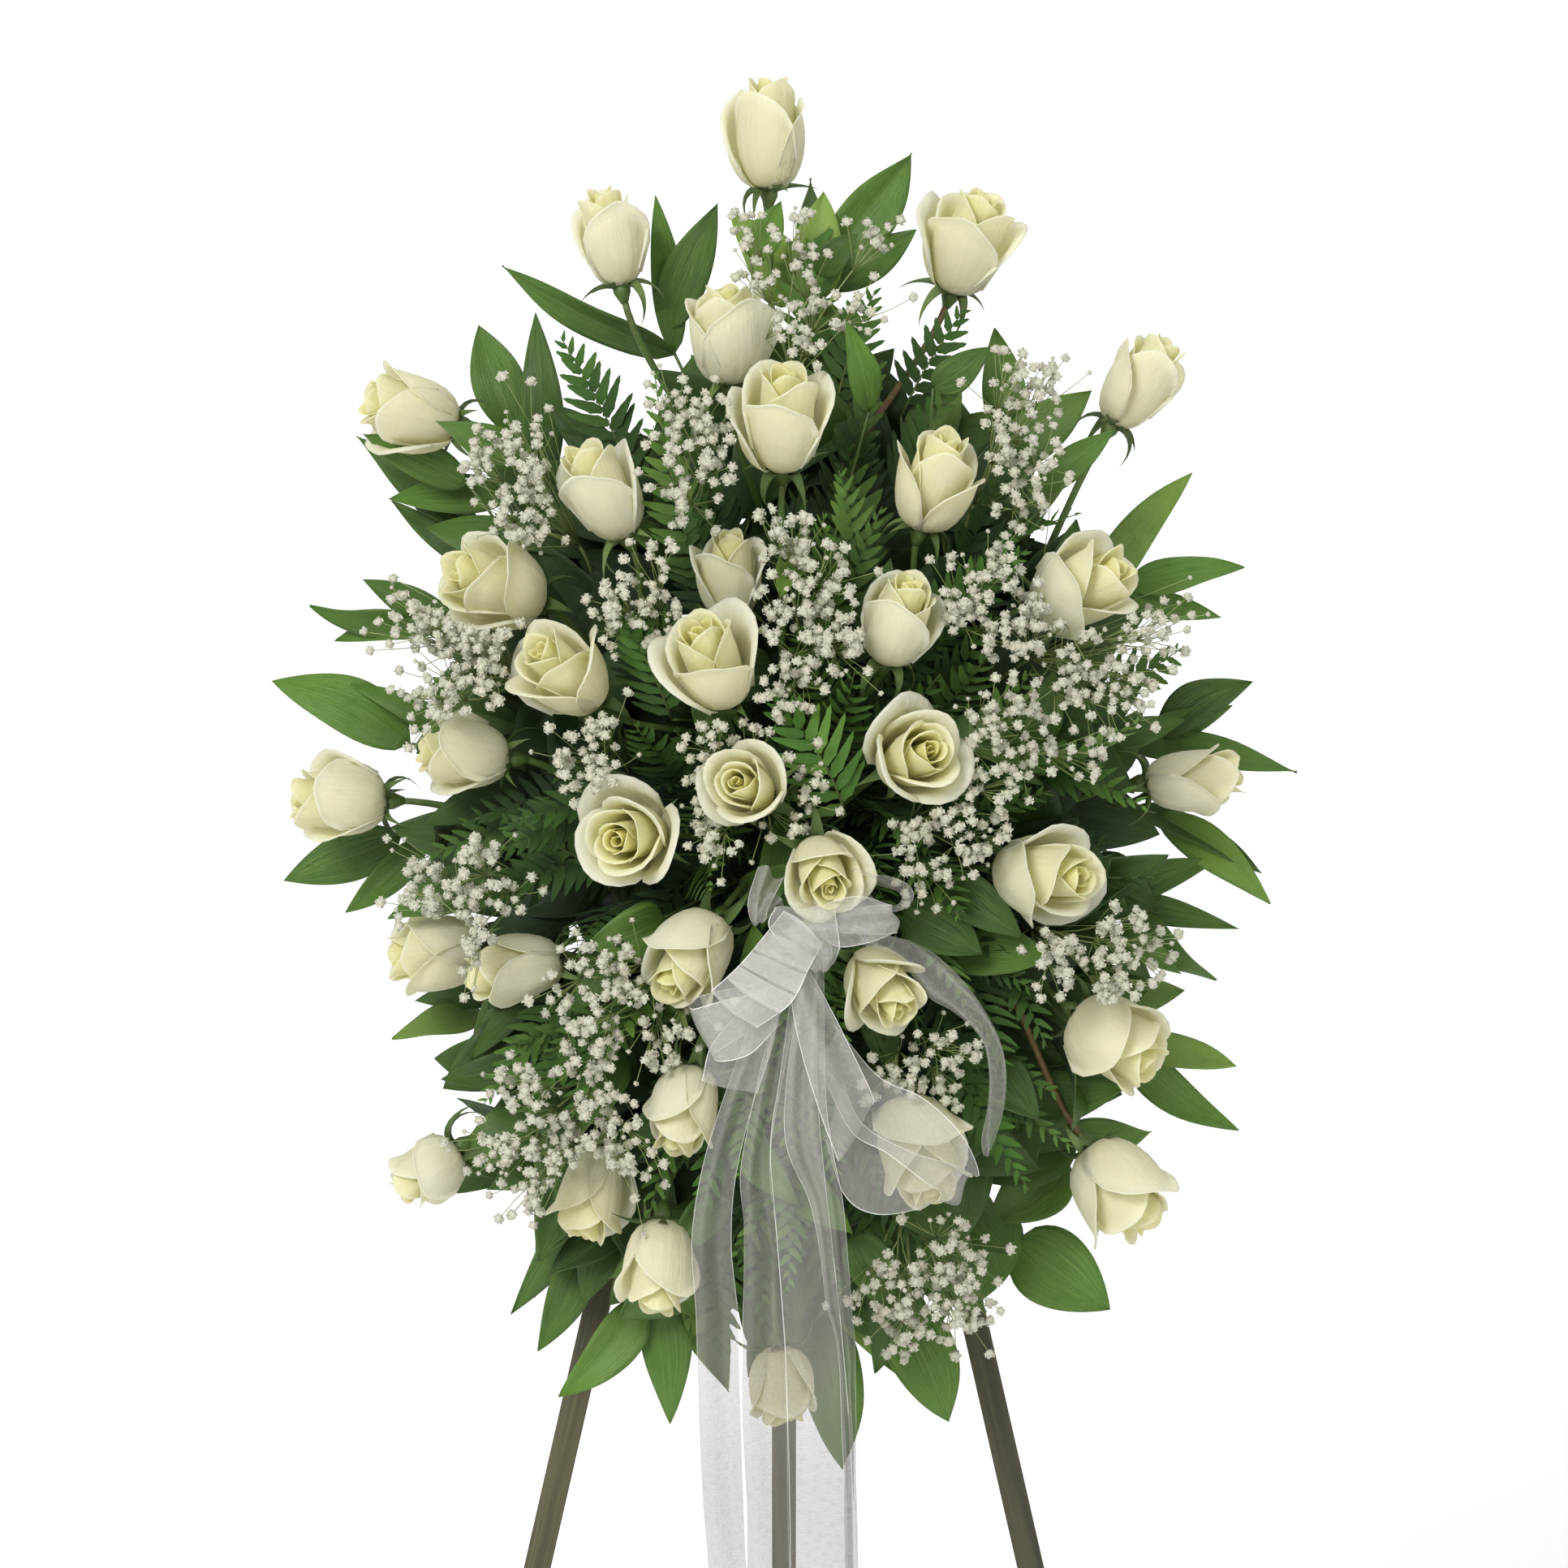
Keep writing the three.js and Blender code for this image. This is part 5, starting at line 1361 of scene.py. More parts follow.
        # One edge lies under the next petal; open outer petals flare, and all are dented and waved
        r = r * (1 + (0.05 + 0.08 * (1 - t)) * u)
        r = r + radius * opened * lerp(0.1, 0.46, self.open) * outer * q ** 2.6
        dent = 0.3 * np.sin(4.3 * u + 5 * v + rng.uniform(0, 6)) * np.sin(6 * v + rng.uniform(0, 6))
        r = r + dent * lerp(0.3, 1.8, t)
        lively = q ** 3 * lerp(0.5, 1.7, t) * radius / 28
        r = r + lively * (0.8 * np.sin(3.1 * u + rng.uniform(0, 6))
                          + 0.4 * np.sin(7.3 * u + rng.uniform(0, 6)))
        z = z + lively * (1.0 * np.sin(3.7 * u + rng.uniform(0, 6))
                          + 0.4 * np.sin(8.9 * u + rng.uniform(0, 6)))
        r = r + z * rng.normal(0, 0.012)
        narrow = 0.5 + 0.5 * np.sin(np.minimum(1, v / 0.55) * math.pi / 2)
        theta = angle + u * half * narrow
        local = np.column_stack([r * np.cos(theta), r * np.sin(theta), z])
        rim = smoothstep((q - start) / rolled + 0.3)
        depth = 0.05 + 0.82 * (1 - t) ** 1.25 + 0.45 * (1 - v) ** 1.6 * (1 - 0.5 * t) - 0.14 * rim
        return local, np.clip(depth, 0, 1)

    def bloom(self) -> None:
        """Makes the bloom as one piece, and fits its petals to its measured length and width."""
        rng = draws_of(Seed.BLOOM, self.index)
        petals = round(lerp(*self.petals, self.open))
        spin = rng.uniform(0, 2 * math.pi)
        made = [self.petal(i / (petals - 1), i * GOLDEN + rng.normal(0, 0.12), rng)
                for i in range(petals)]
        every = np.vstack([local for local, _ in made])
        wide = np.percentile(np.hypot(every[:, 0], every[:, 1]), 98.5)
        fit = np.array([1 / wide, 1 / wide, 0]) * self.width / 2
        fit[2] = self.length / every[:, 2].max()
        grid = flat_grid(*PETAL_NET)
        uv = pattern(grid.u, grid.v)
        tone = rng.uniform(0, 1)
        gather = Gather()
        for i, (local, heart) in enumerate(made):
            shade = np.clip(tone + rng.normal(0, 0.12), 0, 1)
            gather.add(self.to_spray(local * fit, spin), grid.faces, 0, uv + i * 0.37, shade, heart)
        piece = gather.finish(f"bloom_{self.number:02d}", [material_of(Petal())],
                              self.petal_thickness)
        placed(piece, Body.STAND, f"rose_{self.number:02d}")

    def calyx(self, gather: Gather, hip: int, sepal: int) -> None:
        """Adds the green hip under the bloom and its sepals.

        Args:
            gather: The piece that they go with.
            hip: The place of the stem's finish.
            sepal: The place of the sepals' finish.
        """
        rng = draws_of(Seed.CALYX, self.index)
        shares = np.array([-1, -0.75, -0.4, -0.05, 0.12])
        path = self.base + np.outer(shares * self.hip_length, self.axis)
        gather.add_tube(path, point(self.hip_radii), 10, hip, 0.6)
        grid = flat_grid(*SEPAL_NET)
        u, v = grid.u, grid.v
        half = self.sepal_half * (1 - v) ** 0.7 * (0.65 + 0.35 * np.cos(math.pi * (v - 0.15)))
        for j in range(self.sepals):
            angle = 2 * math.pi * (j + rng.uniform(-0.15, 0.15)) / self.sepals
            long = rng.uniform(*self.sepal_length)
            bent = math.radians(rng.uniform(*self.sepal_bend))
            heading = math.radians(self.sepal_heading) - bent * v ** 0.9
            sideways = u * half
            lift = self.sepal_fold * np.abs(u) * half
            r = 4.2 + long * np.cos(heading) * v - lift * np.sin(heading)
            z = -2.0 + long * np.sin(heading) * v * 0.9 + lift * np.cos(heading)
            local = np.column_stack([r * math.cos(angle) - sideways * math.sin(angle),
                                     r * math.sin(angle) + sideways * math.cos(angle), z])
            gather.add(self.to_spray(local), grid.faces, sepal, pattern(u, v),
                       rng.uniform(0.2, 0.9))

    def stem(self, gather: Gather, finish: int) -> None:
        """Adds the stem, from within the foam to the hip; the red ones bow out to the viewer.

        Args:
            gather: The piece that it goes with.
            finish: The place of its finish.
        """
        at, out = hole_of(self.bunch)
        end = self.base - self.axis * 5
        start = root_for(at, out, end)
        path = reach(start, out, end, self.axis, 18)
        if self.red:
            path[:, 1] -= self.stem_bow * np.sin(np.linspace(0, math.pi, len(path))) ** 2
        path = np.vstack([sunk_end(at, out, start, ROSE_FOOT), path])
        rng = draws_of(Seed.STEM, self.index)
        radii = np.linspace(*self.stem_radii, len(path)) * rng.uniform(0.95, 1.05, len(path))
        gather.add_tube(path, radii, 8, finish, rng.uniform(0.3, 0.8))


class Blooms:
    """The room that all the blooms take, which the other flowers and leaves keep out of."""

    def __init__(self) -> None:
        """Reads the table of roses."""
        self.roses = [Rose(index, *row) for index, row in enumerate(ROSES)]
        self.middles = np.array([rose.at for rose in self.roses], float)
        self.axes = np.array([rose.axis for rose in self.roses])
        self.lengths = np.array([rose.length for rose in self.roses]) / 2
        self.radii = np.array([rose.width for rose in self.roses]) / 2

    def struck(self, points: Array, margin: float) -> bool:
        """Says whether any of some points lies in a bloom or near one.

        Args:
            points: One point, or a row for each.
            margin: How near to a bloom counts.

        Returns:
            True where one does.
        """
        away = np.atleast_2d(points)[:, None, :] - self.middles
        along = (away * self.axes).sum(-1)
        across = np.sqrt(np.maximum((away ** 2).sum(-1) - along ** 2, 0))
        share = (along / (self.lengths + margin)) ** 2 + (across / (self.radii + margin)) ** 2
        return bool((share < 1).any())

    def hidden(self, points: Array, share: float) -> bool:
        """Says whether any of some points stands before a bloom.

        Args:
            points: One point, or a row for each.
            share: How much of a bloom's radius counts.

        Returns:
            True where one does.
        """
        away = np.atleast_2d(points)[:, None, :] - self.middles
        flat = np.hypot(away[..., 0], away[..., 2])
        return bool(((flat < self.radii * share) & (away[..., 1] < 6)).any())

    def blocked(self, points: Array, margin: float = 3.0, share: float = 0.8) -> bool:
        """Says whether any of some points is in, near or before a bloom."""
        return self.struck(points, margin) or self.hidden(points, share)


# The greenery


class LeafShape(Enum):
    """The outlines of leaves: slender and pointed, or broad."""

    SLIM = (0.62, 1.0)
    BROAD = (0.55, 0.95)

    @classmethod
    def of(cls, width: float, broad_from: float = 30.0) -> "LeafShape":
        """Gives the outline of a leaf of a width."""
        return cls.SLIM if width < broad_from else cls.BROAD


@dataclass(frozen=True)
class LeafBlade:
    """One leaf from its base to its tip."""

    base: Array
    tip: Array
    width: float
    facing: Array
    seed: int
    shape: LeafShape = LeafShape.SLIM
    tone: float = 0.45
    net: tuple[int, int] = (8, 16)

    def add_to(self, gather: Gather, finish: int) -> None:
        """Adds the leaf: an arched, cupped, slightly twisted blade with waves in its edges.

        Args:
            gather: The piece that it goes with.
            finish: The place of its finish.
        """
        rng = np.random.default_rng(self.seed)
        grid = flat_grid(*self.net)
        u, v = grid.u, 1 - (1 - grid.v) ** 1.1
        rise, fall = self.shape.value
        peak = rise / (rise + fall)
        half = self.width / 2 * (v ** rise * (1 - v) ** fall) / (peak ** rise * (1 - peak) ** fall)
        line = MiddleLine(self.base, self.tip, self.facing, rng.uniform(0.03, 0.11),
                          rng.uniform(-0.02, 0.1), rng.uniform(-0.07, 0.07))
        side, _, up = line.ways
        twist = rng.uniform(-0.5, 0.5) * (v - 0.2) + rng.uniform(-0.2, 0.2)
        across = np.outer(np.cos(twist), side) + np.outer(np.sin(twist), up)
        outward = np.outer(-np.sin(twist), side) + np.outer(np.cos(twist), up)
        lift = rng.uniform(0.05, 0.34) * half * np.abs(u) ** 1.3
        lift += 0.018 * line.length * np.abs(u) ** 2 * np.sin(9 * v + rng.uniform(0, 6) + u)
        lift -= 0.25 * np.exp(-(u / 0.12) ** 2)  # the groove along its rib
        points = line.at(v) + across * (u * half)[:, None] + outward * lift[:, None]
        uv = pattern(u, v + rng.integers(0, 9))
        shade = np.clip(rng.normal(self.tone, 0.5 * min(self.tone, 0.45)), 0, 1)
        # the last value is the painted shade, from how far behind the spray's face each point lies
        gather.add(points, grid.faces, finish, uv, shade, painted_shade_depth(points))


@dataclass(frozen=True)
class FernFrond:
    """One fern frond: a rib with lobed leaflets in pairs that shorten towards the tip."""

    root: Array
    tip: Array
    width: float
    facing: Array
    seed: int
    spacing: float = 8.4

    def add_to(self, gather: Gather, leaflet: int, rib: int) -> None:
        """Adds the frond.

        Args:
            gather: The piece that it goes with.
            leaflet: The place of the leaflets' finish.
            rib: The place of the rib's finish.
        """
        rng = np.random.default_rng(self.seed)
        line = MiddleLine(self.root, self.tip, self.facing, rng.uniform(0.02, 0.1),
                          rng.uniform(0, 0.16), rng.uniform(-0.1, 0.1))
        length, (side, ahead, up) = line.length, line.ways
        gather.add_tube(line.at(np.linspace(0, 0.99, 9)), np.linspace(0.9, 0.3, 9), 5, rib)
        grid = flat_grid(*LEAFLET_NET)
        u, v = grid.u, grid.v
        lobes = 0.7 + 0.3 * np.abs(np.cos(3.5 * math.pi * v))
        tone = np.clip(rng.normal(0.5, 0.28), 0, 1)
        pairs = max(7, round(0.93 * length / self.spacing))
        for i in range(2 * pairs):
            sign = 1 if i % 2 else -1
            place = 0.05 + 0.93 * (i + 0.5) / (2 * pairs)
            size = math.sin(math.pi * (0.3 + 0.66 * place)) * rng.uniform(0.9, 1.08)
            leaf_length = self.width / 2 * size + 1.2
            angle = math.radians(lerp(66, 34, place) + rng.normal(0, 4))
            forward = math.cos(angle) * ahead + sign * math.sin(angle) * side
            forward = unit(forward + up * rng.normal(0.05, 0.08))
            cross = unit(np.cross(up, forward))
            broad = min(0.25 * leaf_length, 0.5 * length / pairs)
            half = broad * lobes * (1 - v) ** 0.55 * np.minimum(1, 0.45 + 3 * v)
            droop = leaf_length * (0.16 * v ** 2) - 0.25 * np.abs(u) * half
            points = (line.at(np.array([place]))[0] + np.outer(v * leaf_length, forward)
                      + np.outer(u * half, cross) - np.outer(droop, up))
            shade = np.clip(tone + rng.normal(0, 0.12), 0, 1)
            # the last value is the painted shade, from how far behind the spray's face each point lies
            gather.add(points, grid.faces, leaflet, pattern(u, v + i), shade, painted_shade_depth(points))


@dataclass
class Greenery:
    """The greens of one bunch: its rose stems with their calyxes, leafy sprigs and ferns."""

    bunch: str
    blooms: Blooms
    filler_fronds: int = 230
    filler_leaves: int = 34
    backing_leaves: int = 380
    frond_room: Numbers = (262.0, 345.0, -12.0)  # half its width, half its height, its middle
    frond_width: Numbers = (46.0, 62.0)  # the least and the most, as in the sizes below
    frond_least: float = 75.0  # how long a frond is at least
    leaf_room: Numbers = (210.0, 296.0, -30.0)
    leaf_fan: Numbers = (215.0, 285.0)  # half the width and height over which leaves turn out
    leaf_length: Numbers = (50.0, 76.0)
    leaf_width: Numbers = (20.0, 34.0)
    backing_length: Numbers = (62.0, 92.0)
    backing_width: Numbers = (32.0, 46.0)
    filler_broad_from: float = 27.0
    leaf_thickness: float = 0.4
    stalks: Gather = field(default_factory=Gather)
    blades: Gather = field(default_factory=Gather)
    ferns: Gather = field(default_factory=Gather)

    def twig(self, end: Array, radius: float = 1.3, steps: int = 12) -> Array:
        """Adds a twig from the foam to a point.

        Args:
            end: Where it ends.
            radius: How thick it is.
            steps: How many points it gets.

        Returns:
            The points that it follows.
        """
        at, out = hole_of(self.bunch)
        start = root_for(at, out, end)
        path = reach(start, out, end, unit(end - start), steps)
        radii = np.linspace(radius * 1.2, radius * 0.7, steps + 1)
        inner = sunk_end(at, out, start, TWIG_FOOT)
        self.stalks.add_tube(np.vstack([inner, path]), radii, 6, 0, 0.4)
        return path

    def add_sprigs(self) -> None:
        """Adds the leafy sprigs round the rim."""
        for index, (bunch, end, leaves) in enumerate(SPRIGS):
            if bunch != self.bunch:
                continue
            path = self.twig(point(end))
            for order, (place, x, z, width) in enumerate(leaves):
                base = path[round(place * 0.98 * (len(path) - 1))]
                seed = Seed.SPRIG + index * 23 + order * 3
                tip = np.array([x, base[1] + 24 * (draw(seed) - 0.5), z])
                askew = [1.2 * (draw(seed + k) - 0.5) for k in (1, 2)]
                facing = unit(np.array([askew[0], -1, askew[1]]))
                blade = LeafBlade(base, tip, width * 1.12, facing, seed, LeafShape.of(width))
                blade.add_to(self.blades, 0)

    def add_inner(self) -> None:
        """Adds the leaves and fronds that stand within the spray."""
        for index, (bunch, base, tip, width, tone) in enumerate(INNER_LEAVES):
            if bunch == self.bunch:
                self.twig(point(base), 1.1)
                facing = unit(np.array([0.2, -1, 0.1]))
                blade = LeafBlade(point(base), point(tip), width, facing, Seed.INNER_LEAF + index,
                                  LeafShape.of(width), tone)
                blade.add_to(self.blades, 0)
        for index, (bunch, root, tip, width) in enumerate(FRONDS):
            if bunch == self.bunch:
                self.twig(point(root), 1.2)
                facing = unit(np.array([draw(index + 40) - 0.5, -1, draw(index + 60) - 0.5]))
                frond = FernFrond(point(root), point(tip), width * 1.08, facing,
                                  Seed.FROND + index)
                frond.add_to(self.ferns, 0, 1)

    def nearest(self, place: Array) -> bool:
        """Says whether this bunch is the nearest one to a place.

        Args:
            place: The place.

        Returns:
            True where it is.
        """
        def away(name: str) -> float:
            """Gives a bunch's distance, measured from a little way out."""
            at, out = hole_of(name)
            return float(np.linalg.norm(at + out * 40 - place))

        return min(BUNCHES, key=away) == self.bunch

    @staticmethod
    def spot(room: Numbers, far: float, angle: float) -> tuple[float, float]:
        """Gives a place in an ellipse: how far across and up the spray."""
        half_width, half_height, middle = room
        return half_width * far * math.cos(angle), half_height * far * math.sin(angle) + middle

    def add_fern_fillers(self) -> None:
        """Adds the ferns that close the spray behind the roses."""
        for k in range(self.filler_fronds):
            rng = draws_of(Seed.FERN, k)
            far = math.sqrt((k + 0.5) / self.filler_fronds) * 0.86
            x, z = self.spot(self.frond_room, far, k * GOLDEN)
            tip = np.array([x, dome_depth(x, z) + rng.uniform(8, 66), z])
            root = tip * rng.uniform(0.3, 0.55) + rng.normal(0, 8, 3)
            root[1] = min(-42.0, tip[1] * 0.6 + 20)
            if np.linalg.norm(tip - root) < self.frond_least:
                root = tip - unit(tip - root + np.array([0, 0, 1e-3])) * self.frond_least
            blade = root + np.outer(np.linspace(0.2, 1, 9), tip - root)
            if not self.nearest(root) or self.blooms.blocked(blade, 13.0, 1.2):
                continue
            facing = unit(np.array([x / DOME[0], -0.9, z / DOME[1]]) + rng.normal(0, 0.22, 3))
            self.twig(root, 1.0, 8)
            width = rng.uniform(*self.frond_width)
            FernFrond(root, tip, width, facing, Seed.FERN_BLADE + k).add_to(self.ferns, 0, 1)

    def add_leaf_fillers(self) -> None:
        """Adds the leaves between the roses, and the large dark ones close to the foam."""
        for k in range(self.filler_leaves + self.backing_leaves):
            rng = draws_of(Seed.LEAF, k)
            backing = k >= self.filler_leaves
            if backing:
                far = ((k - self.filler_leaves + 0.5) / self.backing_leaves) ** 0.44
            else:
                far = math.sqrt((k + 0.5) / self.filler_leaves) * 0.86
            x, z = self.spot(self.leaf_room, far, k * GOLDEN + 1.3)
            share = rng.uniform(0.0, 0.22) if backing else 0.58
            base = np.array([x * 0.86, dome_depth(x, z) * share - 8, z * 0.86])
            if not self.nearest(base):
                continue
            turn = rng.uniform(0, 2 * math.pi)
            out_x, out_z = x / self.leaf_fan[0], z / self.leaf_fan[1]
            way = np.array([out_x + 0.7 * math.cos(turn), -0.25, out_z + 0.7 * math.sin(turn)])
            long = rng.uniform(*(self.backing_length if backing else self.leaf_length))
            tip = base + long * unit(way)
            half_width, half_height, middle = RIM
            beyond = math.hypot(tip[0] / half_width, (tip[2] - middle) / half_height)
            if beyond > 1:
                tip[0], tip[2] = tip[0] / beyond, (tip[2] - middle) / beyond + middle
            askew = np.array([0.4 * x / self.leaf_fan[0], -1, 0.4 * z / self.leaf_fan[1]])
            facing = unit(askew + rng.normal(0, 0.25, 3))
            width = rng.uniform(*(self.backing_width if backing else self.leaf_width))
            if self.blooms.blocked(base + np.outer(np.linspace(0.1, 1, 7), tip - base), 10.0, 1.1):
                continue
            self.twig(base, 1.0, 8)
            shape = LeafShape.of(width, self.filler_broad_from)
            net = (6, 10) if backing else (8, 14)
            blade = LeafBlade(base, tip, width, facing, Seed.LEAF_BLADE + k, shape, 0.35, net)
            blade.add_to(self.blades, 0)

    def build(self) -> None:
        """Makes the bunch's pieces: its stalks, its leaves and its ferns."""
        for rose in self.blooms.roses:
            if rose.bunch == self.bunch:
                rose.stem(self.stalks, int(rose.red))
                rose.calyx(self.stalks, 0, 2)
        self.add_sprigs()
        self.add_inner()
        self.add_fern_fillers()
        self.add_leaf_fillers()
        for word, gather, finishes, thickness in (
                ("stems", self.stalks, (STEM, RED_STEM, SEPAL), 0.0),
                ("leaves", self.blades, (LEAF, LEAF_BACK), self.leaf_thickness),
                ("ferns", self.ferns, (FERN, STEM), 0.0)):
            materials = [material_of(finish) for finish in finishes]
            made = gather.finish(f"{word}_{self.bunch}", materials, thickness, 1)
            placed(made, Body.STAND, f"greens_{self.bunch}")


@dataclass
class BabysBreath:
    """One bunch of baby's breath: clouds of small ruffled florets on branching threads."""

    bunch: str
    blooms: Blooms
    floret_radius: float = 3.6
    sizes: Numbers = (1.0, 1.0, 0.92, 0.84, 0.45)  # open florets and a bud, as shares of the radius
    petals: int = 11
    core_radius: float = 0.88
    in_cluster: int = 6
    fullness: float = 2.3  # how many florets stand for each one of the table
    spreads: Numbers = (9.5, 9.5, 13.0, 16.0)  # how far from its cluster's heart a floret is tried
    stem_radii: Numbers = (1.3, 0.9)
    gather: Gather = field(default_factory=Gather)

    def floret(self, rng: np.random.Generator) -> tuple[Array, list[list[int]], Array]:
        """Makes one ruffled floret of radius 1 about the origin, from bent petals of two quads.

        Args:
            rng: Draws for its petals.

        Returns:
            Its points, its faces and how far out each point is.
        """
        rows, faces, outs = [], [], []
        for k in range(self.petals):
            height = 1 - 1.72 * (k + 0.5) / self.petals
            around = k * GOLDEN + rng.uniform(0, 0.6)
            flat = math.sqrt(max(0.0, 1 - height * height))
            way = np.array([flat * math.cos(around), flat * math.sin(around), height])
            side = unit(np.cross(way, rng.normal(0, 1, 3)))
            half, far = rng.uniform(0.34, 0.46), rng.uniform(0.98, 1.1)
            up = np.cross(way, side)
            rows += [way * 0.6 - side * 0.2, way * 0.56, way * 0.6 + side * 0.2,
                     way * far - side * half + up * 0.16, way * far * 0.94 - up * 0.1,
                     way * far + side * half + up * 0.12]
            outs += [0.2, 0.1, 0.2, 1, 0.8, 1]
            faces += [[6 * k + c for c in face] for face in ((0, 1, 4, 3), (1, 2, 5, 4))]
        core, core_faces = ball()
        faces += (core_faces + len(rows)).tolist()
        return np.vstack([rows, core * self.core_radius]), faces, np.array(outs + [0.36] * len(core))

    def thread(self, start: Array, end: Array, radius: float, steps: int,
               rng: np.random.Generator) -> None:
        """Adds a thin thread that bends a little on its way.

        Args:
            start: Where it starts.
            end: Where it ends.
            radius: How thick it is at its start.
            steps: How many points it gets.
            rng: Draws for its bend.
        """
        middle = (start + end) / 2 + rng.normal(0, 0.06, 3) * np.linalg.norm(end - start)
        path = bezier([start, lerp(start, middle, 0.66), lerp(end, middle, 0.66), end],
                      np.linspace(0, 1, steps))
        self.gather.add_tube(path, np.linspace(radius, radius * 0.7, steps), 4, 1)

    def cloud(self, x: float, z: float, half_width: float, half_height: float, count: int,
              rng: np.random.Generator) -> None:
        """Adds one cloud with its stem.

        Args:
            x: The place of its middle across the spray.
            z: The place of its middle up the spray.
            half_width: Half its width.
            half_height: Half its height.
            count: How many florets it has.
            rng: Draws for its threads and florets.
        """
        at, out = (point(v) for v in BREATH[self.bunch][:2])
        root = np.array([CLOUD_ROOT[0] * x, CLOUD_ROOT[1] * dome_depth(x, z), CLOUD_ROOT[2] * z])
        arriving = unit(np.array([x, dome_depth(x, z), z]) - root)
        path = np.vstack([at - out * TWIG_FOOT, reach(at + out * ROOT_OUT, out, root, arriving, 12)])
        self.gather.add_tube(path, np.linspace(*self.stem_radii, len(path)), 6, 1)
        clusters = max(2, round(count / self.in_cluster))
        for j in range(clusters):
            far = math.sqrt((j + 0.5) / clusters)
            turn = j * GOLDEN + rng.uniform(0, 0.8)
            cx, cz = x + half_width * far * math.cos(turn), z + half_height * far * math.sin(turn)
            heart = np.array([cx, dome_depth(cx, cz) + rng.uniform(-4, 26), cz])
            fork = lerp(root, heart, rng.uniform(0.66, 0.8))
            if self.blooms.blocked(fork):
                fork = root
            else:
                self.thread(root, fork, 0.6, 5, rng)
            for _ in range(round(self.fullness * count / clusters)):
                self.sprout(heart, fork, rng)

    def sprout(self, heart: Array, fork: Array, rng: np.random.Generator) -> None:
        """Adds one floret near a cluster's heart, where it and its thread miss the blooms.

        Args:
            heart: The middle of the cluster.
            fork: Where its thread starts.
            rng: Draws for its place, its thread and its shape.
        """
        for spread in self.spreads:
            place = heart + rng.normal(0, 1, 3) * np.array([spread, spread * 0.8, spread])
            path = fork + np.outer(np.linspace(0.2, 1, 6), place - fork)
            if not self.blooms.blocked(path, share=0.92):
                self.thread(fork, place, 0.3, 4, rng)
                self.add_floret(place, place - fork, rng)
                return

    def add_floret(self, place: Array, away: Array, rng: np.random.Generator) -> None:
        """Adds a floret that looks away from its thread.

        Args:
            place: Its middle.
            away: The way that its thread runs.
            rng: Draws for its size and shape.
        """
        points, faces, outs = self.floret(rng)
        size = self.floret_radius * rng.choice(self.sizes) * rng.uniform(0.9, 1.08)
        side, _, _ = basis(away, point(FLORET_ASKEW))
        top = unit(away)
        turn = np.stack([side, np.cross(top, side), top])
        self.gather.add(place + points @ turn * size, faces, 0, 0.0, rng.uniform(0, 1), outs)

    def build(self) -> None:
        """Makes the piece."""
        rng = draws_of(Seed.BREATH, len(self.bunch) * 13 + ord(self.bunch[-1]))
        for row in BREATH[self.bunch][2]:
            self.cloud(*row, rng)
        finishes = [material_of(Floret()), material_of(THREAD)]
        made = self.gather.finish(f"florets_{self.bunch}", finishes)
        placed(made, Body.STAND, f"breath_{self.bunch}")


# The ribbon


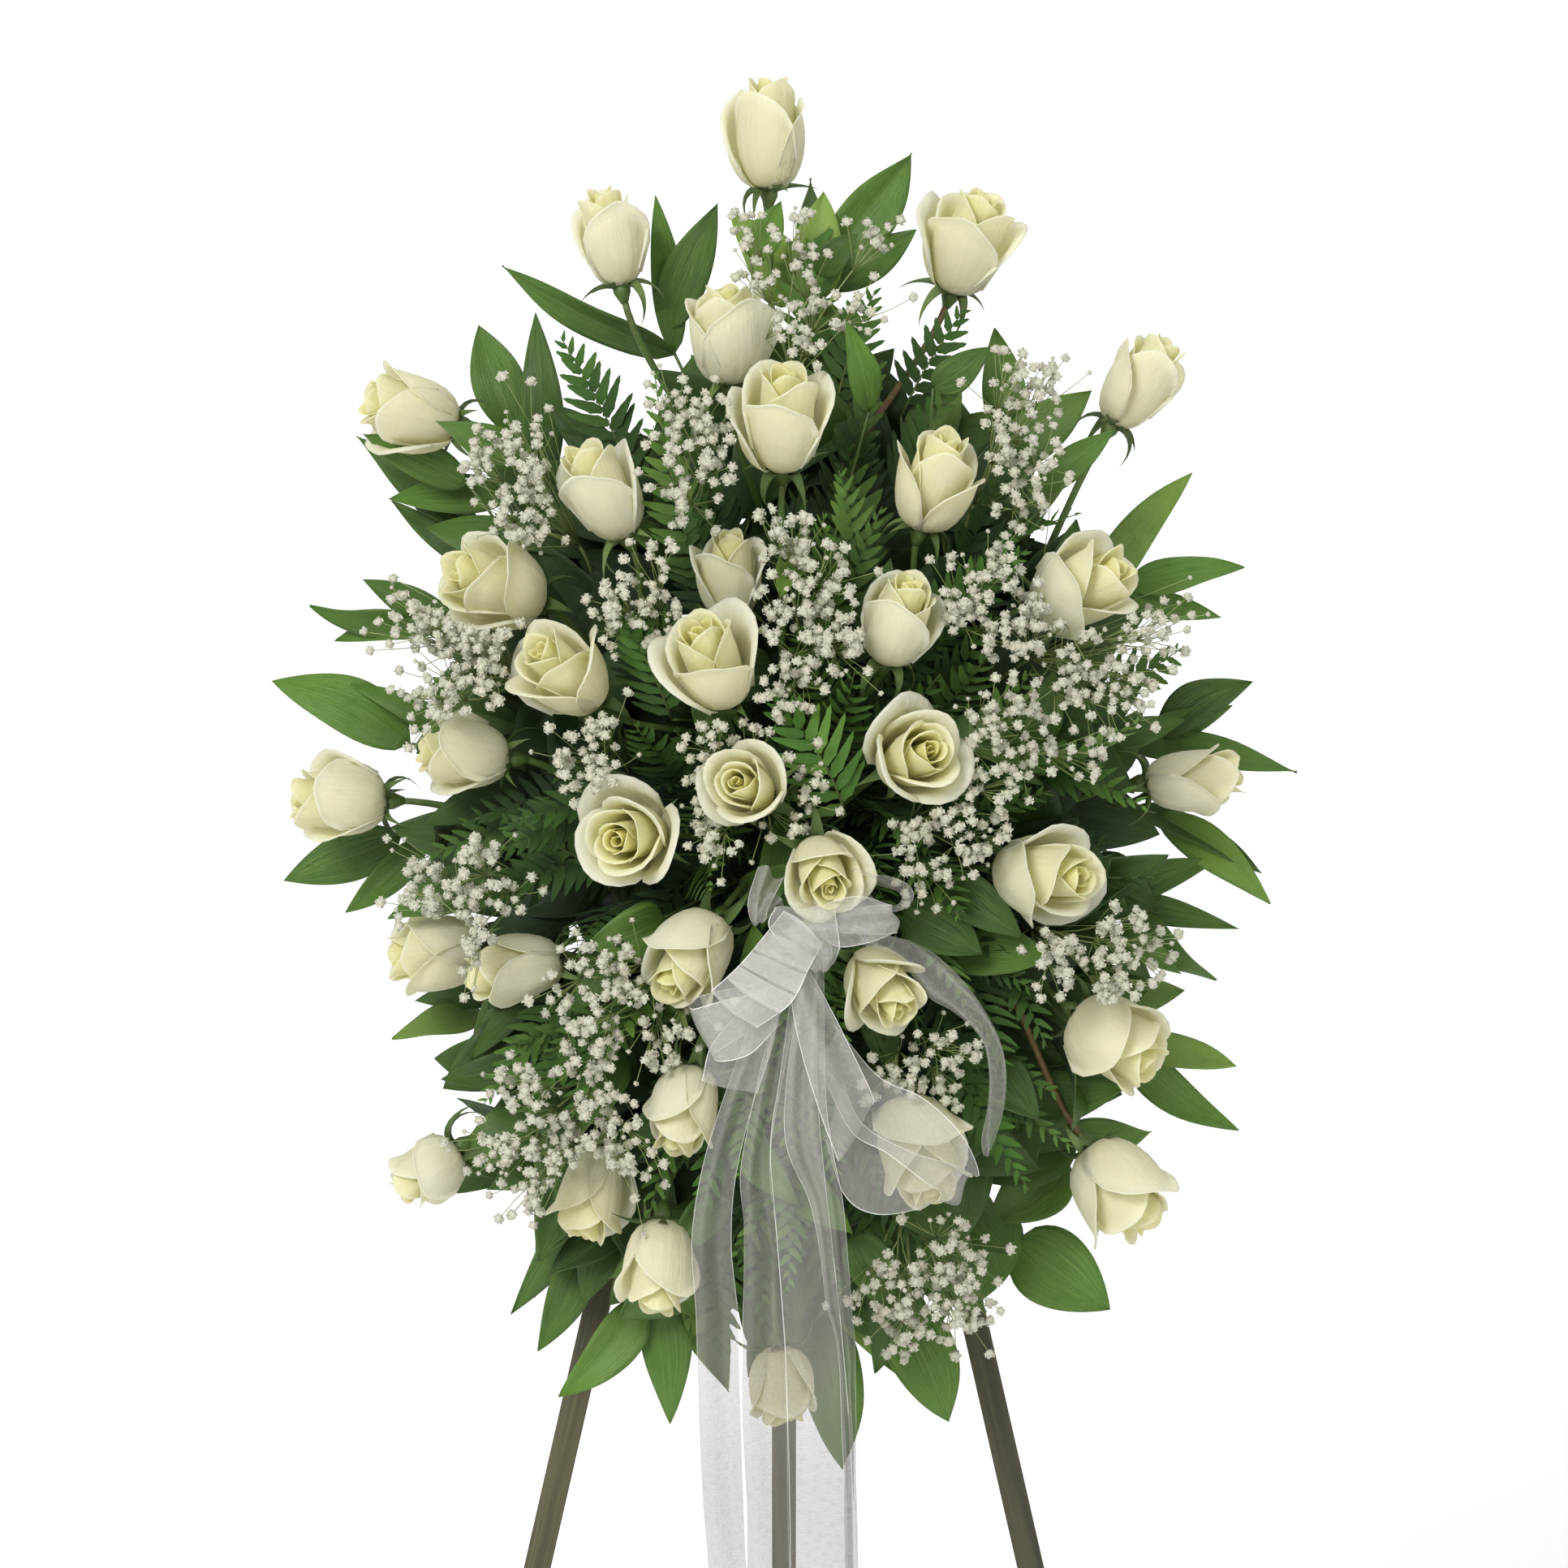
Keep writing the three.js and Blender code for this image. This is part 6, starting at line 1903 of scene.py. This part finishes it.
@dataclass
class RibbonStrip:
    """One length of sheer ribbon between its two edges."""

    name: str
    hold: Hold
    waves: float
    pleats: int
    stations: list[Numbers]
    columns: int = 16
    row_height: float = 3.2
    pleat_row_height: float = 1.5
    pleat_step: float = 0.7  # how much nearer to the back each fold of a pleat lies
    most_swell: float = 7.0
    most_gathered: float = 4.5  # the most times that its width is drawn in

    def rows(self) -> tuple[Array, Array]:
        """Gives close stations of the strip, folded back on itself where it is pleated.

        Returns:
            The stations, and how near each one is to a fold.
        """
        table = np.array(self.stations, float)
        fine = smooth_rows(table, 24 * len(table))
        if not self.pleats:
            return fine, np.zeros(len(fine))
        turns = [0.0]
        for k in range(self.pleats):
            turns += [(k + 1.9) / (self.pleats + 0.9), (k + 0.9) / (self.pleats + 0.9)]
        turns[-1] = 1.0
        legs = np.linspace(0, len(turns) - 1, 60 * len(turns))
        folded = np.interp(legs, np.arange(len(turns)), turns)
        places = np.linspace(0, 1, len(fine))
        out = np.stack([np.interp(folded, places, fine[:, k]) for k in range(6)], 1)
        out[:, 4] += self.pleat_step * legs - 1.0
        nearest = np.abs(legs - np.rint(legs))
        return out, np.exp(-(nearest / 0.07) ** 2)

    def build(self) -> None:
        rows, folds = self.rows()
        first = np.stack([rows[:, 0], rows[:, 4] - rows[:, 5] / 2, rows[:, 1]], 1)
        second = np.stack([rows[:, 2], rows[:, 4] + rows[:, 5] / 2, rows[:, 3]], 1)
        middle = (first + second) / 2
        run = np.concatenate([[0], np.cumsum(np.linalg.norm(np.diff(middle, axis=0), axis=1))])
        length = float(run[-1])
        row_height = self.pleat_row_height if self.pleats else self.row_height
        count = max(10, round(length / row_height))
        even = np.linspace(0, length, count + 1)
        folds = np.interp(even, run, folds)
        first, second = (np.stack([np.interp(even, run, e[:, k]) for k in range(3)], 1)
                         for e in (first, second))
        across = second - first
        shown = np.linalg.norm(across, axis=1)
        tangent = unit(np.gradient((first + second) / 2, axis=0))
        normal = unit(np.cross(tangent, across))
        # Waves of this height take up the width that the edges, drawn in, don't show
        extra = np.clip(RIBBON_WIDTH / shown, 1, self.most_gathered) ** 2 - 1
        swell = shown / (2 * math.pi * max(self.waves, 0.1)) * np.sqrt(2 * extra)
        swell = np.minimum(self.most_swell, swell)
        turning = smoothstep(2 * np.abs(tangent[:, 1]) - 0.8)
        swell = swell * (1 - 0.8 * turning) * (1.0 if self.waves else 0.0)
        grid = flat_grid(self.columns, count)
        row = np.rint(grid.v * count).astype(int)
        column = (grid.u + 1) / 2
        rng = np.random.default_rng(sum(map(ord, self.name)))
        phase = rng.uniform(0, 0.4) + 0.35 * np.sin(even[row] / 47 + rng.uniform(0, 6))
        full = 2 * math.pi * self.waves
        wave = np.sin(full * column + phase)
        wave = wave - lerp(np.sin(phase), np.sin(full + phase), column)
        ripple = 0.8 * np.sin(even[row] / 11 + 3 * column + rng.uniform(0, 6))
        wave = wave * swell[row] + ripple * np.minimum(1, even[row] / 20)
        points = first[row] + across[row] * column[:, None] + normal[row] * wave[:, None]
        gather = Gather()
        # painted light: the sheer loop over the rose is painted half shaded, the other gathered pieces
        # fully lit
        painted_light = 0.5 if self.name == "bow_sheer_right" else 1.0
        # hanging strips are painted darker the further below the knot they hang
        if self.hold is Hold.HUNG:
            painted_light = np.clip(1 - (KNOT[2] - points[:, 2] - 60) / 260, 0, 1) * 0.8
        uv = pattern(grid.u, even[row] / RIBBON_WIDTH)
        gather.add(points, grid.faces, 0, uv, painted_light, folds[row])
        made = gather.finish(self.name, [material_of(Organza())])
        placed(made, Body.STAND, "ribbon")


@dataclass
class Bow:
    """The ribbon: its knot on a wire pick, its loops and its tails."""

    pick_radius: float = 1.2
    pick_length: float = 203.0
    turns: tuple[Numbers, ...] = ((0.25, -2.4), (-0.3, 2.2), (0.05, 0.0))  # lean and shift
    turn_radius: float = 3.2

    def build(self) -> None:
        """Makes the knot of three turns and the pick, then every strip."""
        gather = Gather()
        around = np.linspace(0, 2 * math.pi, 25)
        for k, (lean, shift) in enumerate(self.turns):
            centre = point(KNOT) + np.array([shift, -0.4 * k, 0])
            loop = centre + np.stack([KNOT_SIZE[0] * 0.5 * lean * np.cos(around),
                                      KNOT_SIZE[1] * 0.72 * np.cos(around),
                                      KNOT_SIZE[2] * 0.72 * np.sin(around)], 1)
            radii = self.turn_radius + 0.5 * np.sin(5 * around + k)
            # the knot is painted fully lit
            gather.add_tube(loop, radii, 8, 0, 1.0, 0.3)
        knot = gather.finish("bow_knot", [material_of(Organza())])
        placed(knot, Body.STAND, "ribbon")
        wire = Gather()
        path = point(KNOT) + np.outer(np.linspace(0, 1, 10), [0, self.pick_length, 0])
        wire.add_tube(path + np.array([0, 4, 0]), self.pick_radius, 8)
        made = wire.finish("bow_pick", [material_of(STEM)])
        placed(made, Body.STAND, "ribbon")
        for row in STRIPS:
            RibbonStrip(*row).build()


# The easel


@dataclass
class Easel:
    """The wooden easel, with its tray, foam and hinge."""

    edge: float = 0.0011  # the rounding of its edges in metres
    bevelled_from: float = math.radians(35)
    sharp_from: float = math.radians(40)
    wood: tuple[str, ...] = ("leg_left", "leg_right", "crossbar_upper", "crossbar_lower",
                             "head_block", "rear_leg")

    def copy_of(self, node: str, name: str) -> bpy.types.Object:
        """Copies a solid, merges its corners and rounds its edges.

        Args:
            node: The solid.
            name: The new piece's name.

        Returns:
            The new piece.
        """
        mesh = frame["nodes"][node].data.copy()
        made = bpy.data.objects.new(name, mesh)
        bpy.context.scene.collection.objects.link(made)
        mesh.materials.clear()
        only(made)
        bpy.ops.object.mode_set(mode="EDIT")
        bpy.ops.mesh.select_all(action="SELECT")
        bpy.ops.mesh.remove_doubles(threshold=1e-5)
        bpy.ops.mesh.dissolve_limited(angle_limit=math.radians(1))
        bpy.ops.object.mode_set(mode="OBJECT")
        rounding = made.modifiers.new("edges", "BEVEL")
        rounding.width = self.edge
        rounding.segments = 3
        rounding.angle_limit = self.bevelled_from
        bpy.ops.object.modifier_apply(modifier="edges")
        bpy.ops.object.shade_smooth_by_angle(angle=self.sharp_from)
        return made

    @staticmethod
    def add_grain(made: bpy.types.Object) -> None:
        """Stores each point's place along and across its bar, for the grain.

        Args:
            made: The bar.
        """
        co = np.array([v.co for v in made.data.vertices])
        middle = co.mean(0)
        _, _, ways = np.linalg.svd(co - middle, full_matrices=False)
        local = (co - middle) @ ways.T
        grain = np.column_stack([local[:, 1], local[:, 2], local[:, 0]]) + len(made.name)
        attribute = made.data.attributes.new("grain", "FLOAT_VECTOR", "POINT")
        attribute.data.foreach_set("vector", grain.astype(np.float32).ravel())

    def build(self) -> None:
        """Makes the wooden pieces and the tray, and dresses the foam and the hinge."""
        for node in self.wood:
            made = self.copy_of(node, f"wood_{node}")
            self.add_grain(made)
            made.data.materials.append(material_of(StainedWood()))
            body = Body.REAR_LEG if node == "rear_leg" else Body.STAND
            placed(made, body, node)
        tray = self.copy_of("tray", "foam_tray")
        tray.data.materials.append(material_of(TrayPlastic()))
        placed(tray, Body.STAND, "tray")
        for node, finish in (("foam", WetFoam()), ("hinge_bracket", Steel()), ("hinge_bolt", Steel())):
            mesh = frame["nodes"][node].data
            mesh.materials.clear()
            mesh.materials.append(material_of(finish))


# The studio


@dataclass
class Studio:
    """The floor, the lights and the camera."""

    floor_size: float = 120.0
    photo_scale: float = 0.48  # millimetres for each pixel of the photograph in the spray's plane
    photo_side: float = 1932.0
    sensor: float = 36.0
    camera_away: float = 4500.0
    spray_plane: float = -110.0
    camera_up: float = 16.0
    lit_place: Numbers = (0, -0.15, 0.95)

    def build(self) -> None:
        """Makes them all."""
        bpy.ops.object.select_all(action="DESELECT")
        bpy.ops.mesh.primitive_plane_add(size=self.floor_size, location=(0, 0, 0))
        floor = bpy.context.object
        floor.name = "studio_floor"
        floor.data.materials.append(material_of(StudioFloor()))
        self.light("key", (-1.8, -3.6, 3.6), 1.8, 158)
        self.light("fill", (2.4, -4.0, 1.8), 2.5, 38)
        self.light("top", (0.3, 1.2, 3.6), 2.0, 22)
        world = bpy.data.worlds.new("studio")
        world.use_nodes = True
        background = world.node_tree.nodes["Background"]
        background.inputs[0].default_value = WHITE
        background.inputs[1].default_value = 0.5
        bpy.context.scene.world = world
        bpy.context.scene.view_settings.view_transform = "Standard"
        self.camera()

    @staticmethod
    def hang(name: str, data: bpy.types.ID, place: Numbers, way: Vector) -> bpy.types.Object:
        """Hangs a light or the camera in the studio.

        Args:
            name: Its name.
            data: The light's or the camera's own settings.
            place: Where it hangs, in metres.
            way: The way that it looks.

        Returns:
            The new object.
        """
        made = bpy.data.objects.new(name, data)
        made.location = place
        made.rotation_euler = way.to_track_quat("-Z", "Y").to_euler()
        bpy.context.scene.collection.objects.link(made)
        return made

    def light(self, name: str, place: Numbers, size: float, power: float) -> None:
        """Adds a square soft light that looks at the spray.

        Args:
            name: Its name.
            place: Where it hangs, in metres.
            size: Its side in metres.
            power: Its power in watts.
        """
        data = bpy.data.lights.new(name, "AREA")
        data.size = size
        data.energy = power
        self.hang(name, data, place, Vector(self.lit_place) - Vector(place))

    def camera(self) -> None:
        """Sets the camera before the spray, at a right angle to its plane."""
        data = bpy.data.cameras.new("camera")
        data.sensor_width = self.sensor
        data.lens = self.sensor * self.camera_away / (self.photo_scale * self.photo_side)
        data.clip_end = 300
        eye = Head.to_world(np.array([0, self.spray_plane - self.camera_away, self.camera_up]))
        way = Head.turn @ np.array([0.0, 1.0, 0.0])
        bpy.context.scene.camera = self.hang("camera", data, eye, Vector(way))


def main() -> None:
    """Builds every part of the arrangement in order."""
    logging.basicConfig(level=logging.INFO, format="%(message)s")
    Studio().build()
    Easel().build()
    blooms = Blooms()
    for rose in blooms.roses:
        rose.bloom()
    for bunch in BUNCHES:
        Greenery(bunch, blooms).build()
    for bunch in BREATH:
        BabysBreath(bunch, blooms).build()
    Bow().build()
    total = sum(len(p.vertices) - 2 for o in bpy.data.objects if o.type == "MESH"
                for p in o.data.polygons)
    LOG.info("all: %d triangles", total)


if __name__ == "__main__":
    main()
